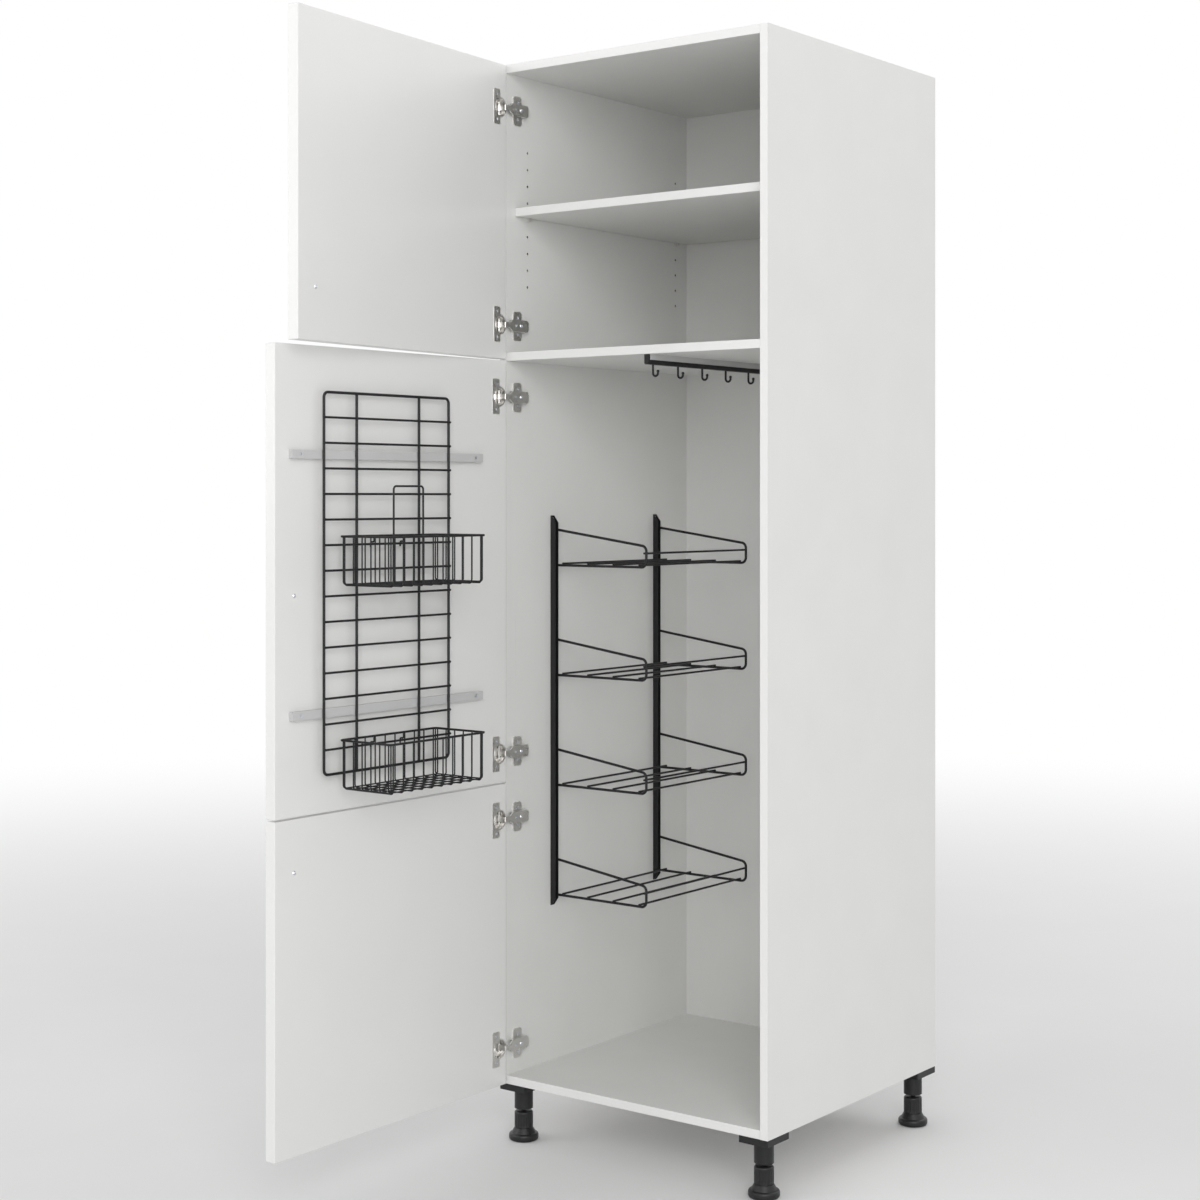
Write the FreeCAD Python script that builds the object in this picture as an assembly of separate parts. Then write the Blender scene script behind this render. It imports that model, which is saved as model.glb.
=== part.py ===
import FreeCAD, Part
import math
import os

# Broom cupboard: a tall kitchen unit on four adjustable legs, with three doors hinged on the left,
# a wire rack on the left wall, a pull-out hook rail and a wire grid with two baskets on the middle door.
# Millimetres. X runs to the right, Y from the front edge of the carcass to the back, Z up from the floor.
# The doors are drawn shut and then turned open about their hinge line.

# Carcass
carcass_width = 600.0
carcass_depth = 600.0
carcass_height = 1920.0
leg_height = 110.0
panel_thickness = 16.0
back_thickness = 8.0
back_rabbet = 10.0
back_clearance = 0.5
panel_edge_radius = 1.0

# Wood dowels that join the flat panels to the sides
dowel_diameter = 8.0
dowel_play = 0.1
dowel_in_side = 11.0
dowel_in_panel = 23.0
dowel_end_gap = 1.0
dowel_setback = 95.0
dowels_per_joint = 3

# Shelves, with heights to the underside from the bottom of the carcass
fixed_shelf_height = 1362.0
loose_shelf_height = 1637.0
loose_shelf_setback = 26.0
loose_shelf_side_gap = 1.0
loose_shelf_back_gap = 4.0
shelf_pin_diameter = 4.8
shelf_pin_in_side = 9.0
shelf_pin_lug = 8.0
shelf_pin_lug_height = 7.0
shelf_pin_lug_radius = 2.8
shelf_pin_play = 0.1
shelf_pin_setback = 37.0
shelf_hole_pitch = 32.0
shelf_hole_count = 9

# Doors, with the line between the lower two measured from the bottom of the carcass
door_thickness = 22.0
door_gap = 3.0
door_side_reveal = 2.0
door_clearance = 3.5
door_edge_radius = 1.5
lower_door_line = 568.0
top_door_open = 85.0
middle_door_open = 90.0
bottom_door_open = 90.0

# Cup hinges: how far each sits from the nearer end of its door, and the line that each door turns about
bottom_door_low_hinge = 70.0
bottom_door_high_hinge = 66.0
middle_door_low_hinge = 55.0
middle_door_high_hinge = 68.0
top_door_low_hinge = 64.0
top_door_high_hinge = 82.0
pivot_from_outer_face = 10.0
pivot_below_door_face = 10.5
cup_diameter = 35.0
cup_inner_depth = 13.9
cup_floor = 0.8
cup_wall = 1.0
cup_edge_distance = 3.0
cup_fit = 0.1
flange_height = 66.0
flange_width = 20.0
flange_offset = 9.5
flange_thickness = 1.0
flange_corner = 3.0
flange_rim = 1.5
flange_screw_spacing = 48.0
flange_screw_length = 14.0
hinge_pin_diameter = 3.0
hinge_pin_play = 0.05

# Hinge arms, and the plates that hold them to the left side
arm_sheet = 2.4
arm_crank_radius = 2.2
arm_nose_width = 10.0
arm_body_width = 22.0
arm_widening_start = -2.0
arm_body_start = 6.0
arm_body_end = 52.0
arm_end_radius = 5.0
arm_standoff = 12.0
arm_barrel_diameter = 5.6
arm_flank = 2.0
mounting_plate_centre = 30.0
mounting_plate_width = 24.0
mounting_plate_height = 55.0
mounting_plate_thickness = 3.0
mounting_plate_radius = 6.0
mounting_boss_width = 16.0
mounting_boss_play = 0.4
mounting_screw_spacing = 32.0
mounting_screw_length = 13.0
arm_screw_length = 7.0

# Screws: shank and head diameters, and the play of a shank in its hole
wood_screw_diameter = 3.5
wood_screw_head = 7.0
system_screw_diameter = 5.0
system_screw_head = 8.0
machine_screw_diameter = 4.0
machine_screw_head = 7.5
machine_screw_head_height = 2.5
screw_play = 0.1
back_screw_length = 30.0
back_screw_setback = 90.0
back_screw_columns = 3

# Door knobs
knob_diameter = 28.0
knob_neck = 11.0
knob_base = 16.0
knob_base_height = 1.5
knob_neck_height = 6.0
knob_rim_height = 13.0
knob_rim_band = 2.0
knob_projection = 21.0
knob_from_free_edge = 45.0
knob_from_door_end = 90.0
middle_knob_height = 1050.0
knob_screw_bite = 10.0

# Legs, whose plates are flush with the corners of the carcass
leg_plate_width = 60.0
leg_plate_depth = 70.0
leg_plate_thickness = 12.0
leg_plate_radius = 2.0
leg_diameter = 35.0
leg_socket_length = 38.0
leg_socket_floor = 22.0
leg_spigot_diameter = 26.0
leg_spigot_length = 14.0
leg_spigot_fit = 0.15
leg_stem_diameter = 10.0
leg_stem_play = 0.1
leg_stem_top_gap = 6.0
leg_stem_roof = 3.0
leg_neck = 5.0
foot_diameter = 56.0
foot_rim_height = 14.0
foot_rim_radius = 5.0
foot_cone_height = 11.0
foot_groove = 1.5
foot_shoulder_radius = 4.0
leg_screw_edge = 10.0
leg_screw_length = 22.0

# Wire rack on the left wall
rack_post_front = 138.0
rack_post_spacing = 338.5
rack_post_width = 10.0
rack_post_depth = 12.0
rack_post_sheet = 1.5
rack_post_bottom = 426.0
rack_post_height = 754.0
rack_post_taper = 14.0
rack_reach = 224.0
rack_lowest_tier = 445.5
rack_tier_pitch = 212.7
rack_tier_count = 4
rack_wire = 5.0
rack_floor_wire = 4.0
rack_floor_wires = 4
rack_floor_start = 24.0
rack_floor_end = 15.0
rack_side_height = 70.0
rack_front_height = 39.0
rack_rail_height = 26.0
rack_corner = 11.0
rack_screw_length = 14.0

# Share of the thinner wire's diameter that two welded wires sink into each other
weld_depth = 0.25

# Pull-out hook rail under the fixed shelf
rail_x = 40.0
rail_front = 4.0
rail_length = 396.0
rail_guide_width = 14.0
rail_guide_height = 10.0
rail_guide_web = 2.0
rail_guide_wall = 1.5
rail_slot = 6.0
rail_play = 0.3
rail_head_height = 3.5
rail_bar_width = 9.0
rail_bar_height = 8.0
rail_plate_width = 10.0
rail_plate_thickness = 4.0
rail_plate_radius = 3.0
rail_plate_top_gap = 0.5
rail_screw_length = 12.0
rail_screw_setback = 40.0
rail_screw_count = 3
hook_count = 5
hook_first = 24.0
hook_pitch = 78.0
hook_wire = 4.0
hook_radius = 5.5
hook_drop = 22.5
hook_tip_rise = 3.0
hook_tip_diameter = 5.4
hook_seat = 6.0

# Wire grid on the middle door, placed from the door's hinge edge and from its lower end
grid_centre = 335.5
grid_width = 317.0
grid_inner_spacing = 158.5
grid_bottom = 65.0
grid_wire_pitch = 43.3
grid_wire_count = 16
grid_upright_wire = 5.0
grid_cross_wire = 4.0
grid_bar_centre = 321.0
grid_bar_length = 486.0
grid_bar_height = 15.0
grid_bar_depth = 10.0
grid_bar_sheet = 1.5
grid_bar_lower = 170.0
grid_bar_upper = 608.0
grid_seat = 0.05
grid_screw_setback = 20.0
grid_screw_bite = 12.0

# Wire baskets that hang on the grid, each on the cross wire counted from the bottom
basket_centre = 342.5
basket_width = 245.0
basket_reach = 140.0
basket_height = 86.5
basket_corner = 6.0
basket_rim_wire = 4.0
basket_wire = 2.5
basket_bend = 5.0
basket_wire_inset = 10.0
basket_rows = 10
basket_columns = 6
basket_grid_gap = 0.5
basket_rim_rise = 14.4
upper_basket_cross_wire = 9
lower_basket_cross_wire = 1
basket_hook_spacing = 75.0
basket_hook_wire = 3.0
basket_hook_bend = 3.0
basket_hook_drop = 5.0
basket_hook_play = 0.3

# Carrying handle that stands in the upper basket
handle_rise = 85.8
handle_wire = 3.5
handle_bend = 6.0

# Planes and lines worked out from the sizes above
left_face = -carcass_width / 2
right_face = carcass_width / 2
left_wall = left_face + panel_thickness
right_wall = right_face - panel_thickness
carcass_bottom = leg_height
carcass_top = leg_height + carcass_height
panel_rear = carcass_depth - back_thickness
fixed_shelf_bottom = carcass_bottom + fixed_shelf_height
loose_shelf_bottom = carcass_bottom + loose_shelf_height
door_face = -door_clearance
door_hinge_edge = left_face + door_side_reveal
door_width = carcass_width - 2 * door_side_reveal
lower_line = carcass_bottom + lower_door_line
upper_line = fixed_shelf_bottom + door_gap / 2
pivot_x = left_face + pivot_from_outer_face
pivot_y = door_face - pivot_below_door_face

# Each door: lower end, upper end and opening angle
doors = {
    "bottom_door": (carcass_bottom + door_gap / 2, lower_line - door_gap / 2, bottom_door_open),
    "middle_door": (lower_line + door_gap / 2, upper_line - door_gap / 2, middle_door_open),
    "top_door": (upper_line + door_gap / 2, carcass_top - door_gap / 2, top_door_open),
}

# Distances of each door's hinges from its lower and from its upper end
hinge_insets = {
    "bottom_door": (bottom_door_low_hinge, bottom_door_high_hinge),
    "middle_door": (middle_door_low_hinge, middle_door_high_hinge),
    "top_door": (top_door_low_hinge, top_door_high_hinge),
}

# Height of each door's knob
knob_heights = {
    "bottom_door": doors["bottom_door"][1] - knob_from_door_end,
    "middle_door": middle_knob_height,
    "top_door": doors["top_door"][0] + knob_from_door_end,
}

X_AXIS = FreeCAD.Vector(1, 0, 0)
Y_AXIS = FreeCAD.Vector(0, 1, 0)
Z_AXIS = FreeCAD.Vector(0, 0, 1)


def point(x, y, z):
    return FreeCAD.Vector(x, y, z)


def near(value, other):
    """Are two sizes the same, to a thousandth?"""
    return abs(value - other) < 0.001


def spread(first, last, count):
    """Evenly spaced positions from first to last."""
    return [first + (last - first) * step / (count - 1) for step in range(count)]


def box(x0, x1, y0, y1, z0, z1):
    """A block between two corners."""
    return Part.makeBox(x1 - x0, y1 - y0, z1 - z0, point(x0, y0, z0))


def rod(start, end, radius):
    """A straight round bar, or the hole for one."""
    along = end - start
    return Part.makeCylinder(radius, along.Length, start, along)


def bent_rod(points, bend, radius):
    """A round bar of straight runs joined by bends of one radius."""
    edges = []
    start = points[0]
    for before, corner, after in zip(points, points[1:], points[2:]):
        back = (before - corner).normalize()
        ahead = (after - corner).normalize()
        half_angle = back.getAngle(ahead) / 2
        setback = bend / math.tan(half_angle)
        inward = (back + ahead).normalize() * (bend / math.sin(half_angle) - bend)
        bend_start = corner + back * setback
        bend_end = corner + ahead * setback
        edges.append(Part.LineSegment(start, bend_start).toShape())
        edges.append(Part.Arc(bend_start, corner + inward, bend_end).toShape())
        start = bend_end
    edges.append(Part.LineSegment(start, points[-1]).toShape())
    section = Part.Wire(Part.makeCircle(radius, points[0], points[1] - points[0]))
    return Part.Wire(edges).makePipeShell([section], True, False)


def prism(points, along):
    """A solid pushed out of a flat outline of straight sides."""
    return Part.Face(Part.makePolygon(points + points[:1])).extrude(along)


def fused(solids):
    """One solid out of pieces that are welded or moulded together."""
    return solids[0].multiFuse(solids[1:]).removeSplitter()


def rounded_along(solid, direction, radius, inside):
    """The solid with a radius on the straight edges along a direction whose middle passes the test."""
    chosen = []
    for edge in solid.Edges:
        if len(edge.Vertexes) == 2 and edge.Curve.TypeId == "Part::GeomLine":
            run = (edge.Vertexes[1].Point - edge.Vertexes[0].Point).normalize()
            if abs(run.dot(direction)) > 0.999 and inside(edge.CenterOfMass):
                chosen.append(edge)
    return solid.makeFillet(radius, chosen)


def turned(edges, base, direction):
    """A solid of revolution, with the outline's Z laid along the direction from the base point."""
    solid = Part.Face(Part.Wire(edges)).revolve(point(0, 0, 0), Z_AXIS, 360)
    solid.Placement = FreeCAD.Placement(base, FreeCAD.Rotation(Z_AXIS, direction))
    return solid


def outline(pairs):
    """Closed straight edges through pairs of radius and height."""
    corners = [point(radius, 0, height) for radius, height in pairs]
    return Part.makePolygon(corners + corners[:1]).Edges


def line(start, end):
    """A straight edge between two pairs of radius and height."""
    return Part.makeLine(point(start[0], 0, start[1]), point(end[0], 0, end[1]))


def arc(start, middle, end):
    """A round edge through three pairs of radius and height."""
    places = [point(radius, 0, height) for radius, height in (start, middle, end)]
    return Part.Arc(*places).toShape()


def dome(rim, base, tip):
    """A round edge from a rim to the tip on the axis, part of a ball centred on the axis."""
    rise = tip - base
    ball = (rim**2 + rise**2) / (2 * abs(rise))
    middle = tip - math.copysign(ball - math.sqrt(ball**2 - rim**2 / 4), rise)
    return arc((rim, base), (rim / 2, middle), (0, tip))


def flat_head_screw(head, direction, length, diameter, head_diameter, play=0.0):
    """A screw with its flat head flush at the point given. With play it is the hole that the screw fills."""
    shank = diameter / 2 + play
    rim = head_diameter / 2 + play
    pairs = [(0, 0), (rim, 0), (shank, rim - shank), (shank, length + play), (0, length + play)]
    return turned(outline(pairs), head, direction)


def wood_screw(head, direction, length, play=0.0):
    return flat_head_screw(head, direction, length, wood_screw_diameter, wood_screw_head, play)


def pan_head_screw(seat, direction, length):
    """A machine screw whose domed head stands on the point given."""
    shank = machine_screw_diameter / 2
    rim = machine_screw_head / 2
    crown = machine_screw_head_height
    edges = [
        dome(rim, 0, -crown),
        line((0, -crown), (0, length)),
        line((0, length), (shank, length)),
        line((shank, length), (shank, 0)),
        line((shank, 0), (rim, 0)),
    ]
    return turned(edges, seat, direction)


def machine_screw_hole(seat, direction, length):
    return rod(seat, seat + direction * (length + screw_play), machine_screw_diameter / 2 + screw_play)


def at_heights(solid, heights):
    """Copies of a solid drawn at height zero."""
    return [solid.translated(point(0, 0, height)) for height in heights]


# Where the joints and fasteners are


def dowel_places():
    """Depth and height of every dowel on one side."""
    heights = [
        carcass_bottom + panel_thickness / 2,
        fixed_shelf_bottom + panel_thickness / 2,
        carcass_top - panel_thickness / 2,
    ]
    depths = spread(dowel_setback, panel_rear - dowel_setback, dowels_per_joint)
    return [(y, z) for z in heights for y in depths]


def shelf_pin_rows():
    """Depths of the two rows of shelf pins."""
    front = loose_shelf_setback + shelf_pin_setback
    rear = panel_rear - loose_shelf_back_gap - shelf_pin_setback
    return (front, rear)


def shelf_pin_height():
    return loose_shelf_bottom - shelf_pin_lug_height / 2


def hinge_heights(name):
    """The two hinge heights of a door."""
    low, high, _ = doors[name]
    low_inset, high_inset = hinge_insets[name]
    return (low + low_inset, high - high_inset)


def all_hinge_heights():
    return [height for name in doors for height in hinge_heights(name)]


def leg_places():
    """Side sign of each leg, with the low corner of its plate."""
    legs = {}
    for end_name, end in (("front", -1), ("back", 1)):
        for side_name, side in (("left", -1), ("right", 1)):
            x0 = left_face if side < 0 else right_face - leg_plate_width
            y0 = 0 if end < 0 else carcass_depth - leg_plate_depth
            legs[f"{end_name}_{side_name}"] = (side, x0, y0)
    return legs


def leg_axis(name):
    """X and Y of a leg's middle line."""
    _, x0, y0 = leg_places()[name]
    return x0 + leg_plate_width / 2, y0 + leg_plate_depth / 2


def leg_screw_heads():
    """Points where the screws of the leg plates start, two under the side and two under the bottom."""
    heads = []
    for side, x0, y0 in leg_places().values():
        inner = x0 + leg_screw_edge if side > 0 else x0 + leg_plate_width - leg_screw_edge
        outer = side * (carcass_width - panel_thickness) / 2
        for y in (y0 + leg_screw_edge, y0 + leg_plate_depth - leg_screw_edge):
            for x in (inner, outer):
                heads.append(point(x, y, carcass_bottom - leg_plate_thickness))
    return heads


def rack_posts():
    """Depths of the middle of the two posts."""
    return (rack_post_front, rack_post_front + rack_post_spacing)


def rack_wire_lines():
    """Depths of the tiers' side wires, each along the rear flank of its post."""
    offset = (rack_post_width + rack_wire) / 2 - weld_depth * rack_wire
    return [y + offset for y in rack_posts()]


def rack_screw_heads():
    """Points in the tapered tips of the posts where the screws start."""
    low = rack_post_bottom + rack_post_taper / 2
    high = rack_post_bottom + rack_post_height - rack_post_taper / 2
    face = left_wall + rack_post_sheet
    return [point(face, y, z) for y in rack_posts() for z in (low, high)]


def rail_screw_heads():
    """Points under the web of the rail's guide where the screws start."""
    first = rail_front + rail_plate_thickness + rail_screw_setback
    last = rail_front + rail_length - rail_screw_setback
    height = fixed_shelf_bottom - rail_guide_web
    return [point(rail_x, y, height) for y in spread(first, last, rail_screw_count)]


def back_screw_heads():
    """Points on the back where the screws into the flat panels start."""
    heights = sorted({z for _, z in dowel_places()})
    columns = spread(left_wall + back_screw_setback, right_wall - back_screw_setback, back_screw_columns)
    return [point(x, carcass_depth, z) for x in columns for z in heights]


# Carcass


def side_panel(side):
    """The left (-1) or right (1) side, with the rabbet for the back and its bores."""
    outer = side * carcass_width / 2
    inner = side * (carcass_width / 2 - panel_thickness)
    low, high = min(outer, inner), max(outer, inner)
    panel = box(low, high, 0, carcass_depth, carcass_bottom, carcass_top)
    panel = rounded_along(panel, Z_AXIS, panel_edge_radius, lambda middle: near(middle.y, 0))
    floor = inner + side * back_rabbet
    cuts = [
        box(min(inner, floor), max(inner, floor), panel_rear, carcass_depth, carcass_bottom, carcass_top)
    ]
    outward = X_AXIS * side
    for y, z in dowel_places():
        mouth = point(inner, y, z)
        cuts.append(rod(mouth, mouth + outward * dowel_in_side, dowel_diameter / 2 + dowel_play))
    middle_step = (shelf_hole_count - 1) / 2
    for y in shelf_pin_rows():
        for step in range(shelf_hole_count):
            mouth = point(inner, y, shelf_pin_height() + (step - middle_step) * shelf_hole_pitch)
            depth = outward * (shelf_pin_in_side + shelf_pin_play)
            cuts.append(rod(mouth, mouth + depth, shelf_pin_diameter / 2 + shelf_pin_play))
    cuts += [wood_screw(head, Z_AXIS, leg_screw_length, screw_play) for head in leg_screw_heads()]
    if side < 0:
        cuts += mounting_screws(screw_play)
        cuts += [wood_screw(head, outward, rack_screw_length, screw_play) for head in rack_screw_heads()]
    return panel.cut(cuts)


def flat_panel(bottom):
    """A board between the sides at the height of its underside, with the bores in its ends and rear."""
    panel = box(left_wall, right_wall, 0, panel_rear, bottom, bottom + panel_thickness)
    panel = rounded_along(panel, X_AXIS, panel_edge_radius, lambda middle: near(middle.y, 0))
    cuts = [wood_screw(head, -Y_AXIS, back_screw_length, screw_play) for head in back_screw_heads()]
    for y, z in dowel_places():
        for wall, inward in ((left_wall, X_AXIS), (right_wall, -X_AXIS)):
            mouth = point(wall, y, z)
            cuts.append(rod(mouth, mouth + inward * dowel_in_panel, dowel_diameter / 2 + dowel_play))
    return panel.cut(cuts)


def bottom_panel():
    cuts = [wood_screw(head, Z_AXIS, leg_screw_length, screw_play) for head in leg_screw_heads()]
    return flat_panel(carcass_bottom).cut(cuts)


def fixed_shelf():
    cuts = [wood_screw(head, Z_AXIS, rail_screw_length, screw_play) for head in rail_screw_heads()]
    return flat_panel(fixed_shelf_bottom).cut(cuts)


def back_panel():
    """The thin back in the rabbets of the sides, over the rear edges of the flat panels."""
    reach = right_wall + back_rabbet - back_clearance
    panel = box(-reach, reach, panel_rear, carcass_depth, carcass_bottom, carcass_top)
    holes = [wood_screw(head, -Y_AXIS, back_screw_length, screw_play) for head in back_screw_heads()]
    return panel.cut(holes)


def panel_dowels():
    """Round wood pegs, part in the side and part in the end of the flat panel."""
    dowels = []
    for y, z in dowel_places():
        for side in (-1, 1):
            joint = side * right_wall
            start = point(joint + side * (dowel_in_side - dowel_end_gap), y, z)
            end = point(joint - side * (dowel_in_panel - dowel_end_gap), y, z)
            dowels.append(rod(start, end, dowel_diameter / 2))
    return Part.makeCompound(dowels)


def loose_shelf():
    """The shelf that lies on four pins, set back from the front."""
    reach = right_wall - loose_shelf_side_gap
    rear = panel_rear - loose_shelf_back_gap
    top = loose_shelf_bottom + panel_thickness
    shelf = box(-reach, reach, loose_shelf_setback, rear, loose_shelf_bottom, top)
    return rounded_along(shelf, X_AXIS, panel_edge_radius, lambda middle: near(middle.y, loose_shelf_setback))


def shelf_pins():
    """Pins in the sides, each with a flat-topped lug under the shelf."""
    pins = []
    half = shelf_pin_lug_height / 2
    for side in (-1, 1):
        wall = side * right_wall
        for y in shelf_pin_rows():
            middle = point(wall, y, shelf_pin_height())
            shank = rod(middle + X_AXIS * side * shelf_pin_in_side, middle, shelf_pin_diameter / 2)
            tip = wall - side * shelf_pin_lug
            low, high = min(wall, tip), max(wall, tip)
            lug = box(low, high, y - half, y + half, middle.z - half, middle.z + half)
            lug = rounded_along(lug, X_AXIS, shelf_pin_lug_radius, lambda centre: centre.z < middle.z)
            pins.append(fused([shank, lug]))
    return Part.makeCompound(pins)


# Hinges


def mounting_screws(play=0.0):
    """The screws of the mounting plates, two to a plate, or with play their holes."""
    half = mounting_screw_spacing / 2
    face = left_wall + mounting_plate_thickness
    screws = []
    for height in all_hinge_heights():
        for step in (-half, half):
            head = point(face, mounting_plate_centre, height + step)
            screws.append(
                flat_head_screw(
                    head, -X_AXIS, mounting_screw_length, system_screw_diameter, system_screw_head, play
                )
            )
    return screws


def arm_outer():
    """The X of the arms' outer face, towards the inside of the cupboard."""
    return left_wall + arm_standoff


def arm_inner():
    return arm_outer() - arm_sheet


def mounting_plates():
    """A cross plate on the left side for each hinge, with the boss that the arm sits on."""
    half_width = mounting_plate_width / 2
    half_height = mounting_plate_height / 2
    face = left_wall + mounting_plate_thickness
    front = mounting_plate_centre - half_width
    rear = mounting_plate_centre + half_width
    base = box(left_wall, face, front, rear, -half_height, half_height)
    base = rounded_along(base, X_AXIS, mounting_plate_radius, lambda middle: True)
    boss_half = arm_body_width / 2 - arm_flank - mounting_boss_play
    boss_front = mounting_plate_centre - mounting_boss_width / 2
    boss_rear = mounting_plate_centre + mounting_boss_width / 2
    boss = box(left_wall, arm_inner(), boss_front, boss_rear, -boss_half, boss_half)
    seat = point(arm_outer(), mounting_plate_centre, 0)
    plate = fused([base, boss]).cut(machine_screw_hole(seat, -X_AXIS, arm_screw_length))
    plates = at_heights(plate, all_hinge_heights())
    holes = mounting_screws(screw_play)
    return Part.makeCompound([plate.cut(holes) for plate in plates])


def hinge_arms():
    """Pressed arms: a barrel on the pin in the cup, a cranked nose, and a channel over the mounting boss."""
    nose = arm_nose_width / 2
    body = arm_body_width / 2
    barrel_radius = arm_barrel_diameter / 2
    strip_back = pivot_y - barrel_radius
    strip_front = strip_back + arm_sheet
    barrel = rod(point(pivot_x, pivot_y, -nose), point(pivot_x, pivot_y, nose), barrel_radius)
    strip = box(pivot_x, arm_outer(), strip_back, strip_front, -nose, nose)
    strip = rounded_along(strip, Z_AXIS, arm_crank_radius, lambda p: p.x > arm_inner() and p.y < strip_front)
    web_outline = [
        point(arm_inner(), strip_front, -nose),
        point(arm_inner(), arm_widening_start, -nose),
        point(arm_inner(), arm_body_start, -body),
        point(arm_inner(), arm_body_end, -body),
        point(arm_inner(), arm_body_end, body),
        point(arm_inner(), arm_body_start, body),
        point(arm_inner(), arm_widening_start, nose),
        point(arm_inner(), strip_front, nose),
    ]
    web = prism(web_outline, X_AXIS * arm_sheet)
    web = rounded_along(web, X_AXIS, arm_end_radius, lambda middle: near(middle.y, arm_body_end))
    solids = [strip, barrel, web]
    foot = left_wall + mounting_plate_thickness
    flank_end = arm_body_end - arm_end_radius
    for low, high in ((-body, -body + arm_flank), (body - arm_flank, body)):
        solids.append(box(foot, arm_inner(), arm_body_start, flank_end, low, high))
    bore = hinge_pin_diameter / 2 + hinge_pin_play
    holes = [
        rod(point(pivot_x, pivot_y, -nose), point(pivot_x, pivot_y, nose), bore),
        machine_screw_hole(point(arm_outer(), mounting_plate_centre, 0), -X_AXIS, arm_screw_length),
    ]
    return Part.makeCompound(at_heights(fused(solids).cut(holes), all_hinge_heights()))


def hinge_arm_screws():
    screw = pan_head_screw(point(arm_outer(), mounting_plate_centre, 0), -X_AXIS, arm_screw_length)
    return Part.makeCompound(at_heights(screw, all_hinge_heights()))


def cup_middle():
    """X of the middle of the hinge cups when the door is shut."""
    return door_hinge_edge + cup_edge_distance + cup_diameter / 2


def opened(solid, name):
    """A piece of a shut door, turned to the door's opening angle."""
    return solid.rotated(point(pivot_x, pivot_y, 0), Z_AXIS, -doors[name][2])


def flange_screws(heights, play=0.0):
    """The two screws beside each hinge cup, or with play their holes."""
    half = flange_screw_spacing / 2
    x = cup_middle() + flange_offset
    face = door_face + flange_thickness
    heads = [point(x, face, height + step) for height in heights for step in (-half, half)]
    return [wood_screw(head, -Y_AXIS, flange_screw_length, play) for head in heads]


def cup_body():
    """The round body of a hinge cup at height zero, as deep as its outside."""
    x = cup_middle()
    floor = door_face - cup_inner_depth - cup_floor
    return rod(point(x, floor, 0), point(x, door_face, 0), cup_diameter / 2)


def hinge_pin_rod(radius):
    """A rod on the door's hinge line at height zero, as long as a cup is wide."""
    half = cup_diameter / 2
    return rod(point(pivot_x, pivot_y, -half), point(pivot_x, pivot_y, half), radius)


def hinge_pins(heights):
    """The pins across the cups, riveted flush with the outside of their walls."""
    return at_heights(hinge_pin_rod(hinge_pin_diameter / 2).common(cup_body()), heights)


def hinge_cups(heights):
    """Round cups sunk in the door, with a screwed flange on its inner face."""
    x = cup_middle()
    radius = cup_diameter / 2
    top = door_face + flange_thickness
    inside_floor = door_face - cup_inner_depth
    rim = rod(point(x, door_face, 0), point(x, top, 0), radius + flange_rim)
    left = x + flange_offset - flange_width / 2
    half = flange_height / 2
    flange = box(left, left + flange_width, door_face, top, -half, half)
    flange = rounded_along(flange, Y_AXIS, flange_corner, lambda middle: True)
    hollow = rod(point(x, inside_floor, 0), point(x, top, 0), radius - cup_wall)
    pin_bore = hinge_pin_rod(hinge_pin_diameter / 2 + hinge_pin_play)
    whole = fused([cup_body(), rim, flange]).cut([hollow, pin_bore])
    holes = flange_screws(heights, screw_play)
    return [cup.cut(holes) for cup in at_heights(whole, heights)]


# Doors


def knob_seat(name):
    """The point on the outer face of a shut door that its knob stands on."""
    x = door_hinge_edge + door_width - knob_from_free_edge
    return point(x, door_face - door_thickness, knob_heights[name])


def knob_screw_length():
    return door_thickness + knob_screw_bite


def knob_screw_seat(name):
    return knob_seat(name) + Y_AXIS * door_thickness


def door_panel(name):
    """A plain door with rounded edges, bored for its hinge cups, screws and knob."""
    low, high, _ = doors[name]
    free_edge = door_hinge_edge + door_width
    panel = box(door_hinge_edge, free_edge, door_face - door_thickness, door_face, low, high)
    panel = panel.makeFillet(door_edge_radius, panel.Edges)
    bore_depth = cup_inner_depth + cup_floor + cup_fit
    cuts = flange_screws(hinge_heights(name), screw_play)
    for height in hinge_heights(name):
        mouth = point(cup_middle(), door_face, height)
        cuts.append(rod(mouth, mouth - Y_AXIS * bore_depth, cup_diameter / 2 + cup_fit))
    cuts.append(machine_screw_hole(knob_screw_seat(name), -Y_AXIS, knob_screw_length()))
    if name == "middle_door":
        cuts += grid_bar_screws(screw_play)
    return panel.cut(cuts)


def knob(name):
    """A turned knob with a waisted neck and a domed face."""
    base = knob_base / 2
    rim = knob_diameter / 2
    edges = [
        line((0, 0), (base, 0)),
        line((base, 0), (base, knob_base_height)),
        arc((base, knob_base_height), (knob_neck / 2, knob_neck_height), (rim, knob_rim_height)),
        line((rim, knob_rim_height), (rim, knob_rim_height + knob_rim_band)),
        dome(rim, knob_rim_height + knob_rim_band, knob_projection),
        line((0, knob_projection), (0, 0)),
    ]
    hole = machine_screw_hole(knob_screw_seat(name), -Y_AXIS, knob_screw_length())
    return turned(edges, knob_seat(name), -Y_AXIS).cut(hole)


def knob_screw(name):
    return pan_head_screw(knob_screw_seat(name), -Y_AXIS, knob_screw_length())


# Legs


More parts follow.
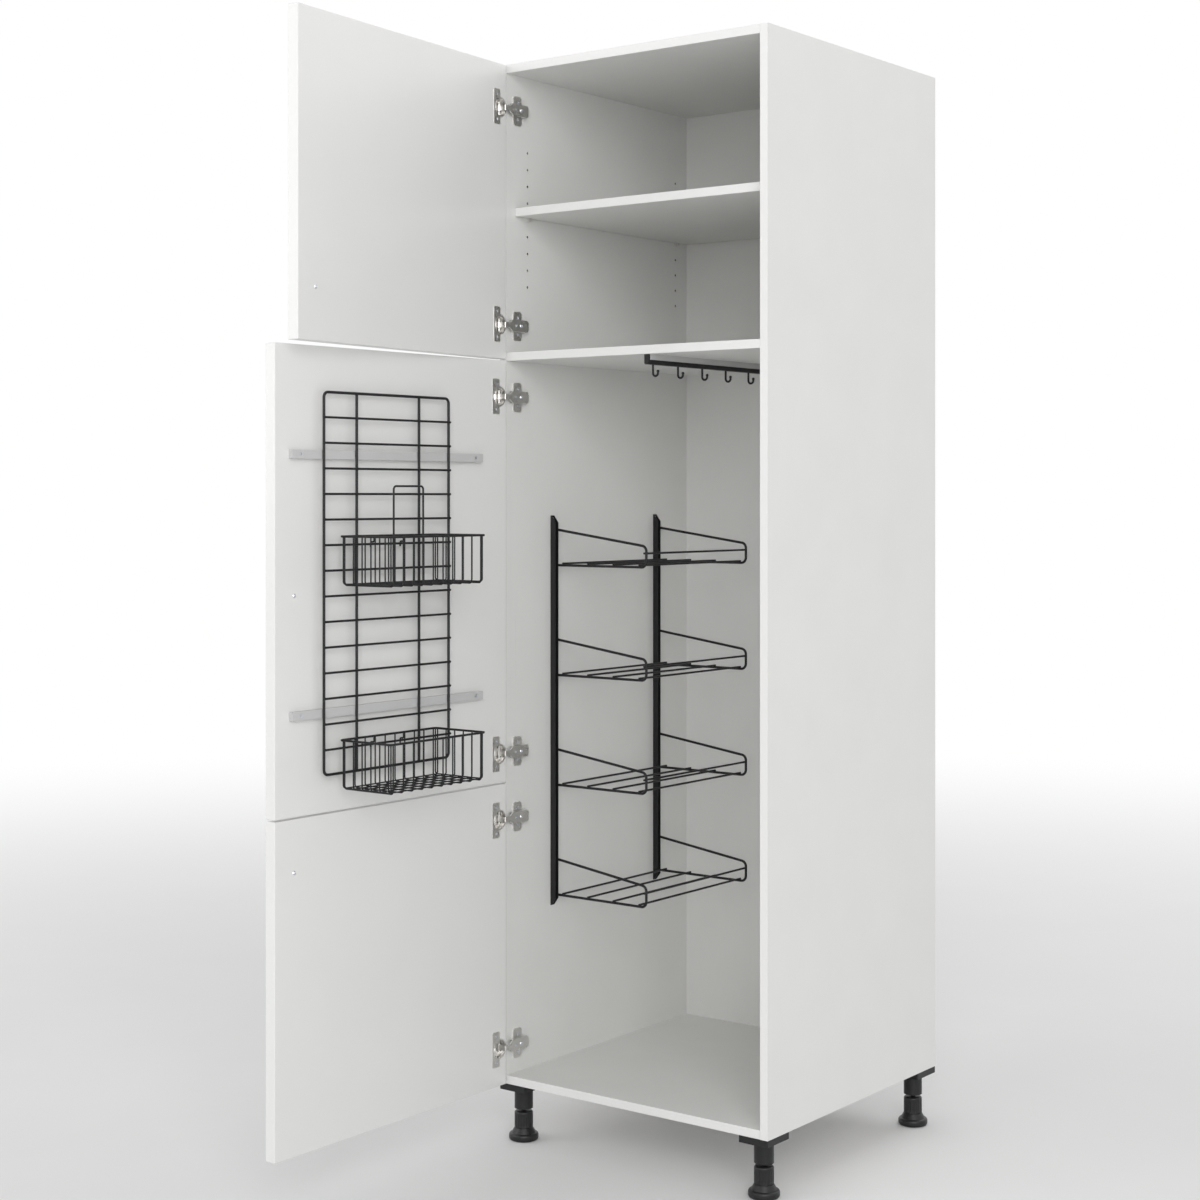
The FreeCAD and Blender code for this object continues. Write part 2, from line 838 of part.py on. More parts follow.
def leg_plates():
    """Moulded plates under the corners, each with a hollow spigot for the socket."""
    plates = []
    holes = [wood_screw(head, Z_AXIS, leg_screw_length, screw_play) for head in leg_screw_heads()]
    bottom = carcass_bottom - leg_plate_thickness
    for name, (_, x0, y0) in leg_places().items():
        x, y = leg_axis(name)
        plate = box(x0, x0 + leg_plate_width, y0, y0 + leg_plate_depth, bottom, carcass_bottom)
        plate = rounded_along(plate, Z_AXIS, leg_plate_radius, lambda middle: True)
        spigot = rod(point(x, y, bottom - leg_spigot_length), point(x, y, bottom), leg_spigot_diameter / 2)
        room = leg_stem_diameter / 2 + leg_stem_play
        roof = carcass_bottom - leg_stem_roof
        hollow = rod(point(x, y, bottom - leg_spigot_length), point(x, y, roof), room)
        plates.append(fused([plate, spigot]).cut([hollow] + holes))
    return Part.makeCompound(plates)


def leg_sockets():
    """Tubes on the spigots, with a floor that the threaded stem of the foot goes through."""
    sockets = []
    top = carcass_bottom - leg_plate_thickness
    bottom = top - leg_socket_length
    for name in leg_places():
        x, y = leg_axis(name)
        tube = rod(point(x, y, bottom), point(x, y, top), leg_diameter / 2)
        well_radius = leg_spigot_diameter / 2 + leg_spigot_fit
        well = rod(point(x, y, bottom + leg_socket_floor), point(x, y, top), well_radius)
        bore = rod(point(x, y, bottom), point(x, y, top), leg_stem_diameter / 2 + leg_stem_play)
        sockets.append(tube.cut([well, bore]))
    return Part.makeCompound(sockets)


def foot(name):
    """An adjustable foot: a flared disc, a grip collar with a round shoulder, and the stem."""
    x, y = leg_axis(name)
    collar = leg_diameter / 2
    rim = foot_diameter / 2
    stem = leg_stem_diameter / 2
    cone_top = foot_rim_height + foot_cone_height
    collar_top = carcass_bottom - leg_plate_thickness - leg_socket_length - leg_neck
    stem_top = carcass_bottom - leg_stem_roof - leg_stem_top_gap
    shoulder = foot_shoulder_radius
    lean = math.sqrt(0.5)
    edges = [
        line((0, 0), (rim - foot_rim_radius, 0)),
        arc(
            (rim - foot_rim_radius, 0),
            (rim - foot_rim_radius * (1 - lean), foot_rim_radius * (1 - lean)),
            (rim, foot_rim_radius),
        ),
        line((rim, foot_rim_radius), (rim, foot_rim_height - foot_rim_radius)),
        arc(
            (rim, foot_rim_height - foot_rim_radius),
            (rim - foot_rim_radius * (1 - lean), foot_rim_height - foot_rim_radius * (1 - lean)),
            (rim - foot_rim_radius, foot_rim_height),
        ),
        line((rim - foot_rim_radius, foot_rim_height), (collar, cone_top - foot_groove)),
        line((collar, cone_top - foot_groove), (collar - foot_groove, cone_top - foot_groove)),
        line((collar - foot_groove, cone_top - foot_groove), (collar - foot_groove, cone_top)),
        line((collar - foot_groove, cone_top), (collar, cone_top)),
        line((collar, cone_top), (collar, collar_top - shoulder)),
        arc(
            (collar, collar_top - shoulder),
            (collar - shoulder * (1 - lean), collar_top - shoulder * (1 - lean)),
            (collar - shoulder, collar_top),
        ),
        line((collar - shoulder, collar_top), (stem, collar_top)),
        line((stem, collar_top), (stem, stem_top)),
        line((stem, stem_top), (0, stem_top)),
        line((0, stem_top), (0, 0)),
    ]
    return turned(edges, point(x, y, 0), Z_AXIS)


# Wire rack


def rack_uprights():
    """Channel posts with pointed ends, screwed to the left wall through their webs."""
    top = rack_post_bottom + rack_post_height
    face = left_wall + rack_post_depth
    holes = [wood_screw(head, -X_AXIS, rack_screw_length, screw_play) for head in rack_screw_heads()]
    posts = []
    for y in rack_posts():
        low = y - rack_post_width / 2
        shape = [
            point(left_wall, low, rack_post_bottom),
            point(left_wall + rack_post_sheet, low, rack_post_bottom),
            point(face, low, rack_post_bottom + rack_post_taper),
            point(face, low, top - rack_post_taper),
            point(left_wall + rack_post_sheet, low, top),
            point(left_wall, low, top),
        ]
        inner_low = low + rack_post_sheet
        inner_high = low + rack_post_width - rack_post_sheet
        groove = box(left_wall + rack_post_sheet, face, inner_low, inner_high, rack_post_bottom, top)
        posts.append(prism(shape, Y_AXIS * rack_post_width).cut([groove] + holes))
    return Part.makeCompound(posts)


def rack_tier():
    """One welded wire tier at height zero: two bent side wires, the floor wires and the front rail.

    The side wires end just off the wall and are flat where they are welded to the flanks of the posts.
    """
    radius = rack_wire / 2
    thin = rack_floor_wire / 2
    ends = left_wall + rack_post_sheet
    front = left_wall + rack_reach - radius
    sink = radius + thin - weld_depth * rack_floor_wire
    wires = []
    for y in rack_wire_lines():
        corners = [
            point(left_wall, y, rack_side_height),
            point(front, y, rack_front_height),
            point(front, y, 0),
            point(left_wall, y, 0),
        ]
        wires.append(bent_rod(corners, rack_corner, radius))
    places = spread(left_wall + rack_floor_start, front - rack_floor_end, rack_floor_wires)
    lines = [(x, sink) for x in places] + [(front - sink, rack_rail_height)]
    start, end = rack_wire_lines()
    for x, z in lines:
        wires.append(rod(point(x, start - radius, z), point(x, end + radius, z), thin))
    low = -rack_side_height
    high = 2 * rack_side_height
    taken = [box(left_face, ends, 0, carcass_depth, low, high)]
    for y in rack_posts():
        flank = rack_post_width / 2
        taken.append(box(left_wall, left_wall + rack_post_depth, y - flank, y + flank, low, high))
    return fused([wire.cut(taken) for wire in wires])


# Hook rail


def guide_lip_top():
    """Height of the ledges in the guide that the rail's head slides on."""
    return fixed_shelf_bottom - rail_guide_height + rail_guide_wall


def rail_bar_bottom():
    return fixed_shelf_bottom - rail_guide_height - rail_play - rail_bar_height


def rail_start():
    """Depth of the front end of the guide and of the bar, behind the end plate."""
    return rail_front + rail_plate_thickness


def rail_guide():
    """A steel channel with turned-in lips, screwed under the fixed shelf."""
    half = rail_guide_width / 2
    bottom = fixed_shelf_bottom - rail_guide_height
    end = rail_front + rail_length
    channel = box(rail_x - half, rail_x + half, rail_start(), end, bottom, fixed_shelf_bottom)
    room = half - rail_guide_wall
    roof = fixed_shelf_bottom - rail_guide_web
    cuts = [wood_screw(head, Z_AXIS, rail_screw_length, screw_play) for head in rail_screw_heads()]
    cuts.append(box(rail_x - room, rail_x + room, rail_start(), end, guide_lip_top(), roof))
    cuts.append(box(rail_x - rail_slot / 2, rail_x + rail_slot / 2, rail_start(), end, bottom, roof))
    return channel.cut(cuts)


def rail_hook_depths():
    return [hook_first + hook_pitch * step for step in range(hook_count)]


def hook_rail():
    """The sliding bar: a head in the guide, a neck through its slot and the bar below."""
    head = rail_guide_width / 2 - rail_guide_wall - rail_play
    neck = rail_slot / 2 - rail_play
    bar = rail_bar_width / 2
    head_bottom = guide_lip_top() + rail_play
    head_top = head_bottom + rail_head_height
    bar_top = rail_bar_bottom() + rail_bar_height
    right_half = [
        (bar, rail_bar_bottom()),
        (bar, bar_top),
        (neck, bar_top),
        (neck, head_bottom),
        (head, head_bottom),
        (head, head_top),
    ]
    section = right_half + [(-x, z) for x, z in reversed(right_half)]
    corners = [point(rail_x + x, rail_start(), z) for x, z in section]
    profile = prism(corners, Y_AXIS * (rail_length - rail_plate_thickness))
    holes = []
    for y in rail_hook_depths():
        seat = point(rail_x, y, rail_bar_bottom())
        holes.append(rod(seat, seat + Z_AXIS * (hook_seat + screw_play), hook_wire / 2 + screw_play))
    return profile.cut(holes)


def rail_plate():
    """The plate on the front end of the rail, which hides the guide and is the pull."""
    half = rail_plate_width / 2
    top = fixed_shelf_bottom - rail_plate_top_gap
    plate = box(rail_x - half, rail_x + half, rail_front, rail_start(), rail_bar_bottom(), top)
    return rounded_along(plate, Y_AXIS, rail_plate_radius, lambda middle: middle.z < guide_lip_top())


def rail_hooks():
    """Round wire hooks in the underside of the bar, each with a ball on its tip."""
    hooks = []
    radius = hook_wire / 2
    top = rail_bar_bottom() + hook_seat
    curl = rail_bar_bottom() - hook_drop + radius + hook_radius
    for y in rail_hook_depths():
        start = point(rail_x, y, top)
        curl_start = point(rail_x, y, curl)
        curl_bottom = point(rail_x + hook_radius, y, curl - hook_radius)
        curl_end = point(rail_x + 2 * hook_radius, y, curl)
        tip = curl_end + Z_AXIS * hook_tip_rise
        path = Part.Wire(
            [
                Part.LineSegment(start, curl_start).toShape(),
                Part.Arc(curl_start, curl_bottom, curl_end).toShape(),
                Part.LineSegment(curl_end, tip).toShape(),
            ]
        )
        section = Part.Wire(Part.makeCircle(radius, start, Z_AXIS))
        stem = path.makePipeShell([section], True, False)
        hooks.append(fused([stem, Part.makeSphere(hook_tip_diameter / 2, tip)]))
    return Part.makeCompound(hooks)


# Grid on the middle door


def on_door(along, inward, height):
    """A point of the shut middle door: from its hinge edge, from its inner face and from its lower end."""
    return point(door_hinge_edge + along, door_face + inward, doors["middle_door"][0] + height)


def grid_upright_line():
    """How far the middle of the grid's uprights stands off the door."""
    return grid_bar_depth + grid_seat + grid_upright_wire / 2


def grid_cross_line():
    sink = weld_depth * grid_cross_wire
    return grid_upright_line() + (grid_upright_wire + grid_cross_wire) / 2 - sink


def grid_wire_height(count):
    """Height of a cross wire on the door, counted from the lowest."""
    return grid_bottom + count * grid_wire_pitch


def door_grid():
    """Four uprights and sixteen cross wires, welded where they cross."""
    thick = grid_upright_wire / 2
    thin = grid_cross_wire / 2
    low = grid_wire_height(0) - thin
    high = grid_wire_height(grid_wire_count - 1) + thin
    half = grid_width / 2
    inner = grid_inner_spacing / 2
    wires = []
    for step in (-half, -inner, inner, half):
        along = grid_centre + step
        start = on_door(along, grid_upright_line(), low)
        wires.append(rod(start, on_door(along, grid_upright_line(), high), thick))
    for count in range(grid_wire_count):
        height = grid_wire_height(count)
        start = on_door(grid_centre - half - thick, grid_cross_line(), height)
        wires.append(rod(start, on_door(grid_centre + half + thick, grid_cross_line(), height), thin))
    return fused(wires)


def grid_bars():
    """Two pressed bars, open towards the door, that hold the grid off it."""
    bars = []
    half = grid_bar_length / 2
    rise = grid_bar_height / 2
    sheet = grid_bar_sheet
    holes = grid_bar_screws(screw_play)
    for height in (grid_bar_lower, grid_bar_upper):
        low = on_door(grid_bar_centre - half, 0, height - rise)
        high = on_door(grid_bar_centre + half, grid_bar_depth, height + rise)
        block = box(low.x, high.x, low.y, high.y, low.z, high.z)
        block = rounded_along(block, Y_AXIS, sheet, lambda middle: True)
        hollow = box(
            low.x + sheet, high.x - sheet, low.y, high.y - sheet, low.z + sheet, high.z - sheet
        )
        bars.append(block.cut([hollow] + holes))
    return Part.makeCompound(bars)


def grid_bar_screws(play=0.0):
    """A screw through each end of each bar into the door, or with play their holes."""
    reach = grid_bar_length / 2 - grid_screw_setback
    screws = []
    for height in (grid_bar_lower, grid_bar_upper):
        for step in (-reach, reach):
            head = on_door(grid_bar_centre + step, grid_bar_depth, height)
            screws.append(wood_screw(head, -Y_AXIS, grid_bar_depth + grid_screw_bite, play))
    return screws


# Baskets


def basket_back():
    """How far the back of the baskets stands off the door, just in front of the grid."""
    return grid_cross_line() + grid_cross_wire / 2 + basket_grid_gap


def basket_rim_line():
    return basket_back() + basket_rim_wire / 2


def basket_rim_height(cross_wire):
    """Height on the door of the rim of a basket that hangs on a cross wire of the grid."""
    return grid_wire_height(cross_wire) + basket_rim_rise


def basket_floor(cross_wire):
    """Height on the door of the middle of a basket's lower floor wires."""
    return basket_rim_height(cross_wire) + (basket_rim_wire + basket_wire) / 2 - basket_height


def basket_row_places():
    """Places along the door of the wires that run from the back of a basket to its front."""
    half = basket_width / 2 - basket_wire_inset
    return spread(basket_centre - half, basket_centre + half, basket_rows)


def basket_column_places():
    """Distances from the door of the wires that run from side to side."""
    return spread(basket_back() + basket_wire_inset, basket_reach - basket_wire_inset, basket_columns)


def wire_basket(cross_wire):
    """A basket of bent wires welded inside its rim, in the shut door's place."""
    rim = basket_rim_wire / 2
    thin = basket_wire / 2
    left = basket_centre - basket_width / 2
    right = basket_centre + basket_width / 2
    back = basket_back()
    inside = rim * 2 + thin - weld_depth * basket_wire
    rim_height = basket_rim_height(cross_wire)
    floor = basket_floor(cross_wire)
    upper_floor = floor + (1 - weld_depth) * basket_wire
    wires = []
    for side in (left + rim, right - rim):
        corners = [
            on_door(basket_centre, back + rim, rim_height),
            on_door(side, back + rim, rim_height),
            on_door(side, basket_reach - rim, rim_height),
            on_door(basket_centre, basket_reach - rim, rim_height),
        ]
        wires.append(bent_rod(corners, basket_corner, rim))
    for along in basket_row_places():
        corners = [
            on_door(along, back + inside, rim_height),
            on_door(along, back + inside, floor),
            on_door(along, basket_reach - inside, floor),
            on_door(along, basket_reach - inside, rim_height),
        ]
        wires.append(bent_rod(corners, basket_bend, thin))
    for inward in basket_column_places():
        corners = [
            on_door(left + inside, inward, rim_height),
            on_door(left + inside, inward, upper_floor),
            on_door(right - inside, inward, upper_floor),
            on_door(right - inside, inward, rim_height),
        ]
        wires.append(bent_rod(corners, basket_bend, thin))
    return fused(wires)


def basket_hooks(cross_wire):
    """Two hooks, welded to the back of a basket, that go over a cross wire of the grid and down behind it."""
    radius = basket_hook_wire / 2
    clear = grid_cross_wire / 2 + basket_hook_play + radius
    height = grid_wire_height(cross_wire)
    behind = grid_cross_line() - clear
    hooks = []
    for step in (-basket_hook_spacing / 2, basket_hook_spacing / 2):
        along = basket_centre + step
        corners = [
            on_door(along, basket_rim_line(), basket_rim_height(cross_wire)),
            on_door(along, basket_rim_line(), height + clear),
            on_door(along, behind, height + clear),
            on_door(along, behind, height - basket_hook_drop),
        ]
        hooks.append(bent_rod(corners, basket_hook_bend, radius))
    return Part.makeCompound(hooks).cut(wire_basket(cross_wire))


def basket_handle(cross_wire):
    """A bent handle in the middle of a basket.

    Its legs stand on the second floor wire to each side of the middle and are welded to the wire across them.
    """
    radius = handle_wire / 2
    sink = weld_depth * basket_wire
    rows = basket_row_places()
    second = len(rows) // 2 - 2
    columns = basket_column_places()
    inward = columns[len(columns) // 2 - 1] - radius - basket_wire / 2 + sink
    foot = basket_floor(cross_wire) + basket_wire / 2 - sink
    top = basket_rim_height(cross_wire) + handle_rise
    corners = [
        on_door(rows[second], inward, foot),
        on_door(rows[second], inward, top),
        on_door(rows[-1 - second], inward, top),
        on_door(rows[-1 - second], inward, foot),
    ]
    return bent_rod(corners, handle_bend, radius).cut(wire_basket(cross_wire))


def main():
    nodes = {
        "left_side_panel": side_panel(-1),
        "right_side_panel": side_panel(1),
        "top_panel": flat_panel(carcass_top - panel_thickness),
        "bottom_panel": bottom_panel(),
        "back_panel": back_panel(),
        "back_panel_screws": Part.makeCompound(
            [wood_screw(head, -Y_AXIS, back_screw_length) for head in back_screw_heads()]
        ),
        "panel_dowels": panel_dowels(),
        "fixed_shelf": fixed_shelf(),
        "adjustable_shelf": loose_shelf(),
        "shelf_pins": shelf_pins(),
        "hinge_mounting_plates": mounting_plates(),
        "hinge_plate_screws": Part.makeCompound(mounting_screws()),
        "hinge_arms": hinge_arms(),
        "hinge_arm_screws": hinge_arm_screws(),
        "leg_plates": leg_plates(),
        "leg_sockets": leg_sockets(),
        "leg_plate_screws": Part.makeCompound(
            [wood_screw(head, Z_AXIS, leg_screw_length) for head in leg_screw_heads()]
        ),
        "rack_uprights": rack_uprights(),
        "rack_screws": Part.makeCompound(
            [wood_screw(head, -X_AXIS, rack_screw_length) for head in rack_screw_heads()]
        ),
        "hook_rail_guide": rail_guide(),
        "hook_rail_guide_screws": Part.makeCompound(
            [wood_screw(head, Z_AXIS, rail_screw_length) for head in rail_screw_heads()]
        ),
        "hook_rail": hook_rail(),
        "hook_rail_end_plate": rail_plate(),
        "rail_hooks": rail_hooks(),
        "door_grid": opened(door_grid(), "middle_door"),
        "grid_bars": opened(grid_bars(), "middle_door"),
        "grid_bar_screws": opened(Part.makeCompound(grid_bar_screws()), "middle_door"),
        "upper_basket": opened(wire_basket(upper_basket_cross_wire), "middle_door"),
        "upper_basket_hooks": opened(basket_hooks(upper_basket_cross_wire), "middle_door"),
        "upper_basket_handle": opened(basket_handle(upper_basket_cross_wire), "middle_door"),
        "lower_basket": opened(wire_basket(lower_basket_cross_wire), "middle_door"),
        "lower_basket_hooks": opened(basket_hooks(lower_basket_cross_wire), "middle_door"),
    }
    tier = rack_tier()
    for count in range(rack_tier_count):
        height = rack_lowest_tier + count * rack_tier_pitch
        nodes[f"rack_tier_{count + 1}"] = tier.translated(point(0, 0, height))
    for name in leg_places():
        nodes[f"foot_{name}"] = foot(name)
    for name in doors:
        heights = hinge_heights(name)
        pieces = {
            "panel": door_panel(name),
            "hinge_cups": Part.makeCompound(hinge_cups(heights)),
            "hinge_pins": Part.makeCompound(hinge_pins(heights)),
            "cup_screws": Part.makeCompound(flange_screws(heights)),
            "knob": knob(name),
            "knob_screw": knob_screw(name),
        }
        for piece, solid in pieces.items():
            nodes[f"{name}_{piece}"] = opened(solid, name)
    os.makedirs("parts", exist_ok=True)
    for name, solid in nodes.items():
        solid.exportStep(f"parts/{name}.step")
        print(f"{name}: {len(solid.Solids)} solids, {solid.Volume / 1000:.1f} cm3, valid {solid.isValid()}")


main()
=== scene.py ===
import math

import bpy
import numpy as np
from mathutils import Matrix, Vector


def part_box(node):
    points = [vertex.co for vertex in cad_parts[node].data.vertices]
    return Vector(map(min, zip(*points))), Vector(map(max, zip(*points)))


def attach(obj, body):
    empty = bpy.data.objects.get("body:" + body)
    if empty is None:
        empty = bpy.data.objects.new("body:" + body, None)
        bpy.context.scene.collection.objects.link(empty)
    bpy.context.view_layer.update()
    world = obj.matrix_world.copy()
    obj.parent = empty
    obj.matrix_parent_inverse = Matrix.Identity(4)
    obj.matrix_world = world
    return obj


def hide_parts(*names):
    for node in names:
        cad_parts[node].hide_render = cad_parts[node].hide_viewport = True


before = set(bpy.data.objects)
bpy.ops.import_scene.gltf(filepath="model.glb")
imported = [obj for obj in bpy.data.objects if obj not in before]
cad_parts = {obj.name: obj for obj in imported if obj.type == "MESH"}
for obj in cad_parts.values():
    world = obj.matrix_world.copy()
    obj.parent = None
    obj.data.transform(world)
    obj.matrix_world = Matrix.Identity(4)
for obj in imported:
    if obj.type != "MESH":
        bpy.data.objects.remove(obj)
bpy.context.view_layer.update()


# The view: the unit stands open and is seen from its front right, from about chest height, with upright
# lines kept upright, as a view camera with a lowered front shows it.
view_place = (2.250, -3.028, 1.216)
view_turn = math.radians(37.36)
view_film = 36.0
view_lens = 62.78
view_drop = -0.086
view = bpy.data.objects.new("view", bpy.data.cameras.new("view"))
view.data.sensor_fit = "HORIZONTAL"
view.data.sensor_width = view_film
view.data.lens = view_lens
view.data.shift_y = view_drop
view.location = view_place
view.rotation_euler = (math.pi / 2, 0, view_turn)
bpy.context.scene.collection.objects.link(view)
bpy.context.scene.camera = view


# Boards of the carcass: 16 mm chipboard faced with white melamine, with a thin plastic band glued to the
# front edges and the other edges left raw. Dowels and glue hold them together, and an 8 mm back in
# rabbets of the sides keeps them square.
melamine_white = (0.79, 0.79, 0.775, 1)
melamine_shade = (0.745, 0.745, 0.73, 1)
band_white = (0.81, 0.81, 0.80, 1)
glue_line = (0.42, 0.40, 0.36, 1)
chip_stops = [
    (0.0, (0.17, 0.10, 0.05, 1)),
    (0.35, (0.36, 0.24, 0.13, 1)),
    (0.75, (0.52, 0.38, 0.22, 1)),
    (1.0, (0.66, 0.52, 0.33, 1)),
]
band_thickness = 0.0010
glue_width = 0.0003
glue_strength = 0.8
raw_behind = 0.004
chips_per_metre = 420.0
chip_relief = 6.0
melamine_clouds = 9.0
pearl_per_metre = 1500.0
pearl_depth = 0.00005
melamine_roughness = 0.40
pearl_roughness = 0.08
raw_roughness = 0.35
band_gloss = 0.08


class Socket:
    """One output in a material. Operators on it add the Math nodes that work them out."""

    def __init__(self, tree, output):
        self.tree = tree
        self.output = output

    def feed(self, node, inputs):
        """Sets or links a node's sockets, which go by name or number."""
        for name, value in inputs.items():
            if isinstance(value, Socket):
                self.tree.links.new(value.output, node.inputs[name])
            else:
                node.inputs[name].default_value = value

    def node(self, kind, settings, inputs, output=0):
        """Adds a node of a kind, with its settings and then its sockets, and gives one of its outputs."""
        made = self.tree.nodes.new(kind)
        for name, value in settings.items():
            if name == "stops":
                elements = made.color_ramp.elements
                for count, (position, colour) in enumerate(value):
                    element = elements[count] if count < len(elements) else elements.new(position)
                    element.position = position
                    element.color = colour
            else:
                setattr(made, name, value)
        self.feed(made, inputs)
        return Socket(self.tree, made.outputs[output])

    def maths(self, operation, *values):
        """The result of a Math node on values or sockets."""
        return self.node("ShaderNodeMath", {"operation": operation}, dict(enumerate(values)))

    def __add__(self, other):
        return self.maths("ADD", self, other)

    def __radd__(self, other):
        return self.maths("ADD", other, self)

    def __sub__(self, other):
        return self.maths("SUBTRACT", self, other)

    def __rsub__(self, other):
        return self.maths("SUBTRACT", other, self)

    def __mul__(self, other):
        return self.maths("MULTIPLY", self, other)

    def __rmul__(self, other):
        return self.maths("MULTIPLY", other, self)

    def __lt__(self, other):
        return self.maths("LESS_THAN", self, other)

    def __gt__(self, other):
        return self.maths("GREATER_THAN", self, other)

    def __abs__(self):
        return self.maths("ABSOLUTE", self)

    def mix(self, first, second):
        """A colour that goes from the first to the second as this value goes from 0 to 1.

        A Mix node takes its factor at socket 0 and its colours at 6 and 7, and gives a colour at output 2.
        """
        return self.node("ShaderNodeMix", {"data_type": "RGBA"}, {0: self, 6: first, 7: second}, 2)

    def noise(self, scale, detail=2.0, stretch=(1, 1, 1)):
        """Cloudy values round one half, with this many lumps to the metre, fewer along a stretched axis."""
        spot = self.node("ShaderNodeMapping", {}, {"Vector": self, "Scale": stretch})
        return self.node("ShaderNodeTexNoise", {}, {"Vector": spot, "Scale": scale, "Detail": detail})

    def axis(self, letter):
        """One of the three numbers of a vector or colour, by its letter."""
        return self.node("ShaderNodeSeparateXYZ", {}, {"Vector": self}, letter)


def new_finish(name):
    """A material, and the Object coordinates that its patterns are drawn in."""
    material = bpy.data.materials.new(name)
    material.use_nodes = True
    tree = material.node_tree
    place = tree.nodes.new("ShaderNodeTexCoord")
    return material, Socket(tree, place.outputs["Object"])


def shade(place, inputs, height, depth):
    """Sets the shader's sockets, with a bump as deep in metres as depth where height goes from 0 to 1."""
    bump = place.node("ShaderNodeBump", {}, {"Height": height, "Distance": depth})
    place.feed(place.tree.nodes["Principled BSDF"], {**inputs, "Normal": bump})


def dress(material, names):
    """Puts a finish on CAD nodes."""
    for name in names:
        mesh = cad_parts[name].data
        mesh.materials.clear()
        mesh.materials.append(material)


def board_finish(name, facing_axis, front):
    """White melamine with a pearl emboss on the broad faces, a smooth band on the front edge with its glue
    line behind it, and chips of wood on the other narrow sides, which face along the other two axes."""
    material, place = new_finish(name)
    coordinates = place.output.node
    facing = Socket(place.tree, coordinates.outputs["Normal"]).axis(facing_axis)
    narrow = abs(facing) < 0.5
    depth = place.axis("Y") - front
    raw = narrow * (depth > raw_behind)
    band = narrow * (depth < band_thickness)
    glue = abs(depth - band_thickness) < glue_width / 2
    spread = {"Vector": place, "Scale": chips_per_metre, "Randomness": 1.0}
    cells = place.node("ShaderNodeTexVoronoi", {}, spread, "Color")
    chips = place.node("ShaderNodeValToRGB", {"stops": chip_stops}, {"Fac": cells.axis("X")})
    cloud = place.noise(melamine_clouds, detail=3.0)
    face = cloud.mix(melamine_shade, melamine_white)
    edged = (glue * glue_strength).mix(band.mix(face, band_white), glue_line)
    pearl = place.noise(pearl_per_metre, detail=1.0)
    grain = raw * cells.axis("Y") * chip_relief + (1 - raw) * (1 - band) * pearl
    roughness = melamine_roughness + pearl_roughness * pearl + raw_roughness * raw - band_gloss * band
    shade(place, {"Base Color": raw.mix(edged, chips), "Roughness": roughness}, grain, pearl_depth)
    return material


dress(board_finish("side_board", "X", 0.0), ["left_side_panel", "right_side_panel"])
dress(board_finish("level_board", "Z", 0.0), ["top_panel", "bottom_panel", "fixed_shelf"])
shelf_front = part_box("adjustable_shelf")[0].y
dress(board_finish("shelf_board", "Z", shelf_front), ["adjustable_shelf"])
dress(board_finish("back_board", "Y", 0.0), ["back_panel"])


# Dowels: fluted beech pegs, glued half into the sides and half into the ends of the flat boards.
# Nothing of them shows once the carcass is together.
beech_light = (0.60, 0.42, 0.25, 1)
beech_dark = (0.42, 0.27, 0.15, 1)
beech_roughness = 0.62
streaks_per_metre = 900.0
streak_stretch = (0.06, 1, 1)
streak_depth = 0.0001
beech, place = new_finish("dowel_beech")
streaks = place.noise(streaks_per_metre, detail=3.0, stretch=streak_stretch)
beech_colour = streaks.mix(beech_dark, beech_light)
shade(place, {"Base Color": beech_colour, "Roughness": beech_roughness}, streaks, streak_depth)
dress(beech, ["panel_dowels"])


# Shelf pins: steel pins with a flat-topped lug, nickel plated in a barrel, pushed into two of the holes
# that are bored in rows into each side.
nickel_light = (0.86, 0.85, 0.83, 1)
nickel_dark = (0.75, 0.74, 0.72, 1)
nickel_smooth = 0.20
nickel_rough = 0.38
plating_clouds = 120.0
plating_cloud_share = 0.7
scratches_per_metre = 2600.0
scratch_stretch = (1, 1, 0.12)
scratch_share = 0.3
scratch_depth = 0.000006


def plated_steel(name, light, dark, smooth, rough):
    """Plated steel: faint clouds in the colour and the gloss, and a fine scratch from tumbling."""
    material, place = new_finish(name)
    cloud = place.noise(plating_clouds, detail=4.0)
    scratch = place.noise(scratches_per_metre, detail=2.0, stretch=scratch_stretch)
    roughness = smooth + (rough - smooth) * (plating_cloud_share * cloud + scratch_share * scratch)
    metal = {"Base Color": cloud.mix(dark, light), "Metallic": 1.0, "Roughness": roughness}
    shade(place, metal, scratch, scratch_depth)
    return material


nickel = plated_steel("nickel_plate", nickel_light, nickel_dark, nickel_smooth, nickel_rough)
dress(nickel, ["shelf_pins"])


# Doors: 22 mm fronts in satin white lacquer, sprayed all round over softly rounded edges. Each hangs on
# two cup hinges and carries a knob near its free edge.
door_white = (0.82, 0.82, 0.81, 1)
door_shade = (0.79, 0.79, 0.775, 1)
lacquer_clouds = 6.0
lacquer_roughness = 0.26
spray_per_metre = 320.0
spray_roughness = 0.10
spray_depth = 0.00004
lacquer, place = new_finish("satin_lacquer")
cloud = place.noise(lacquer_clouds)
spray = place.noise(spray_per_metre)
shade(
    place,
    {
        "Base Color": cloud.mix(door_shade, door_white),
        "Roughness": lacquer_roughness + spray_roughness * spray,
        "Coat Weight": 0.25,
        "Coat Roughness": 0.18,
    },
    spray,
    spray_depth,
)
doors = ("bottom_door", "middle_door", "top_door")
dress(lacquer, [f"{door}_panel" for door in doors])


# Hinges: pressed steel, nickel plated. A cup is pushed into each bore of the door, an arm turns on the
# pin across the cup, and a cross plate holds the arm to the left side. Zinc-plated screws with a cross
# recess fix them, and a second screw on each arm sets the gap beside the door.
dress(nickel, ["hinge_mounting_plates", "hinge_arms"])
dress(nickel, [f"{door}_hinge_cups" for door in doors])
dress(nickel, [f"{door}_hinge_pins" for door in doors])

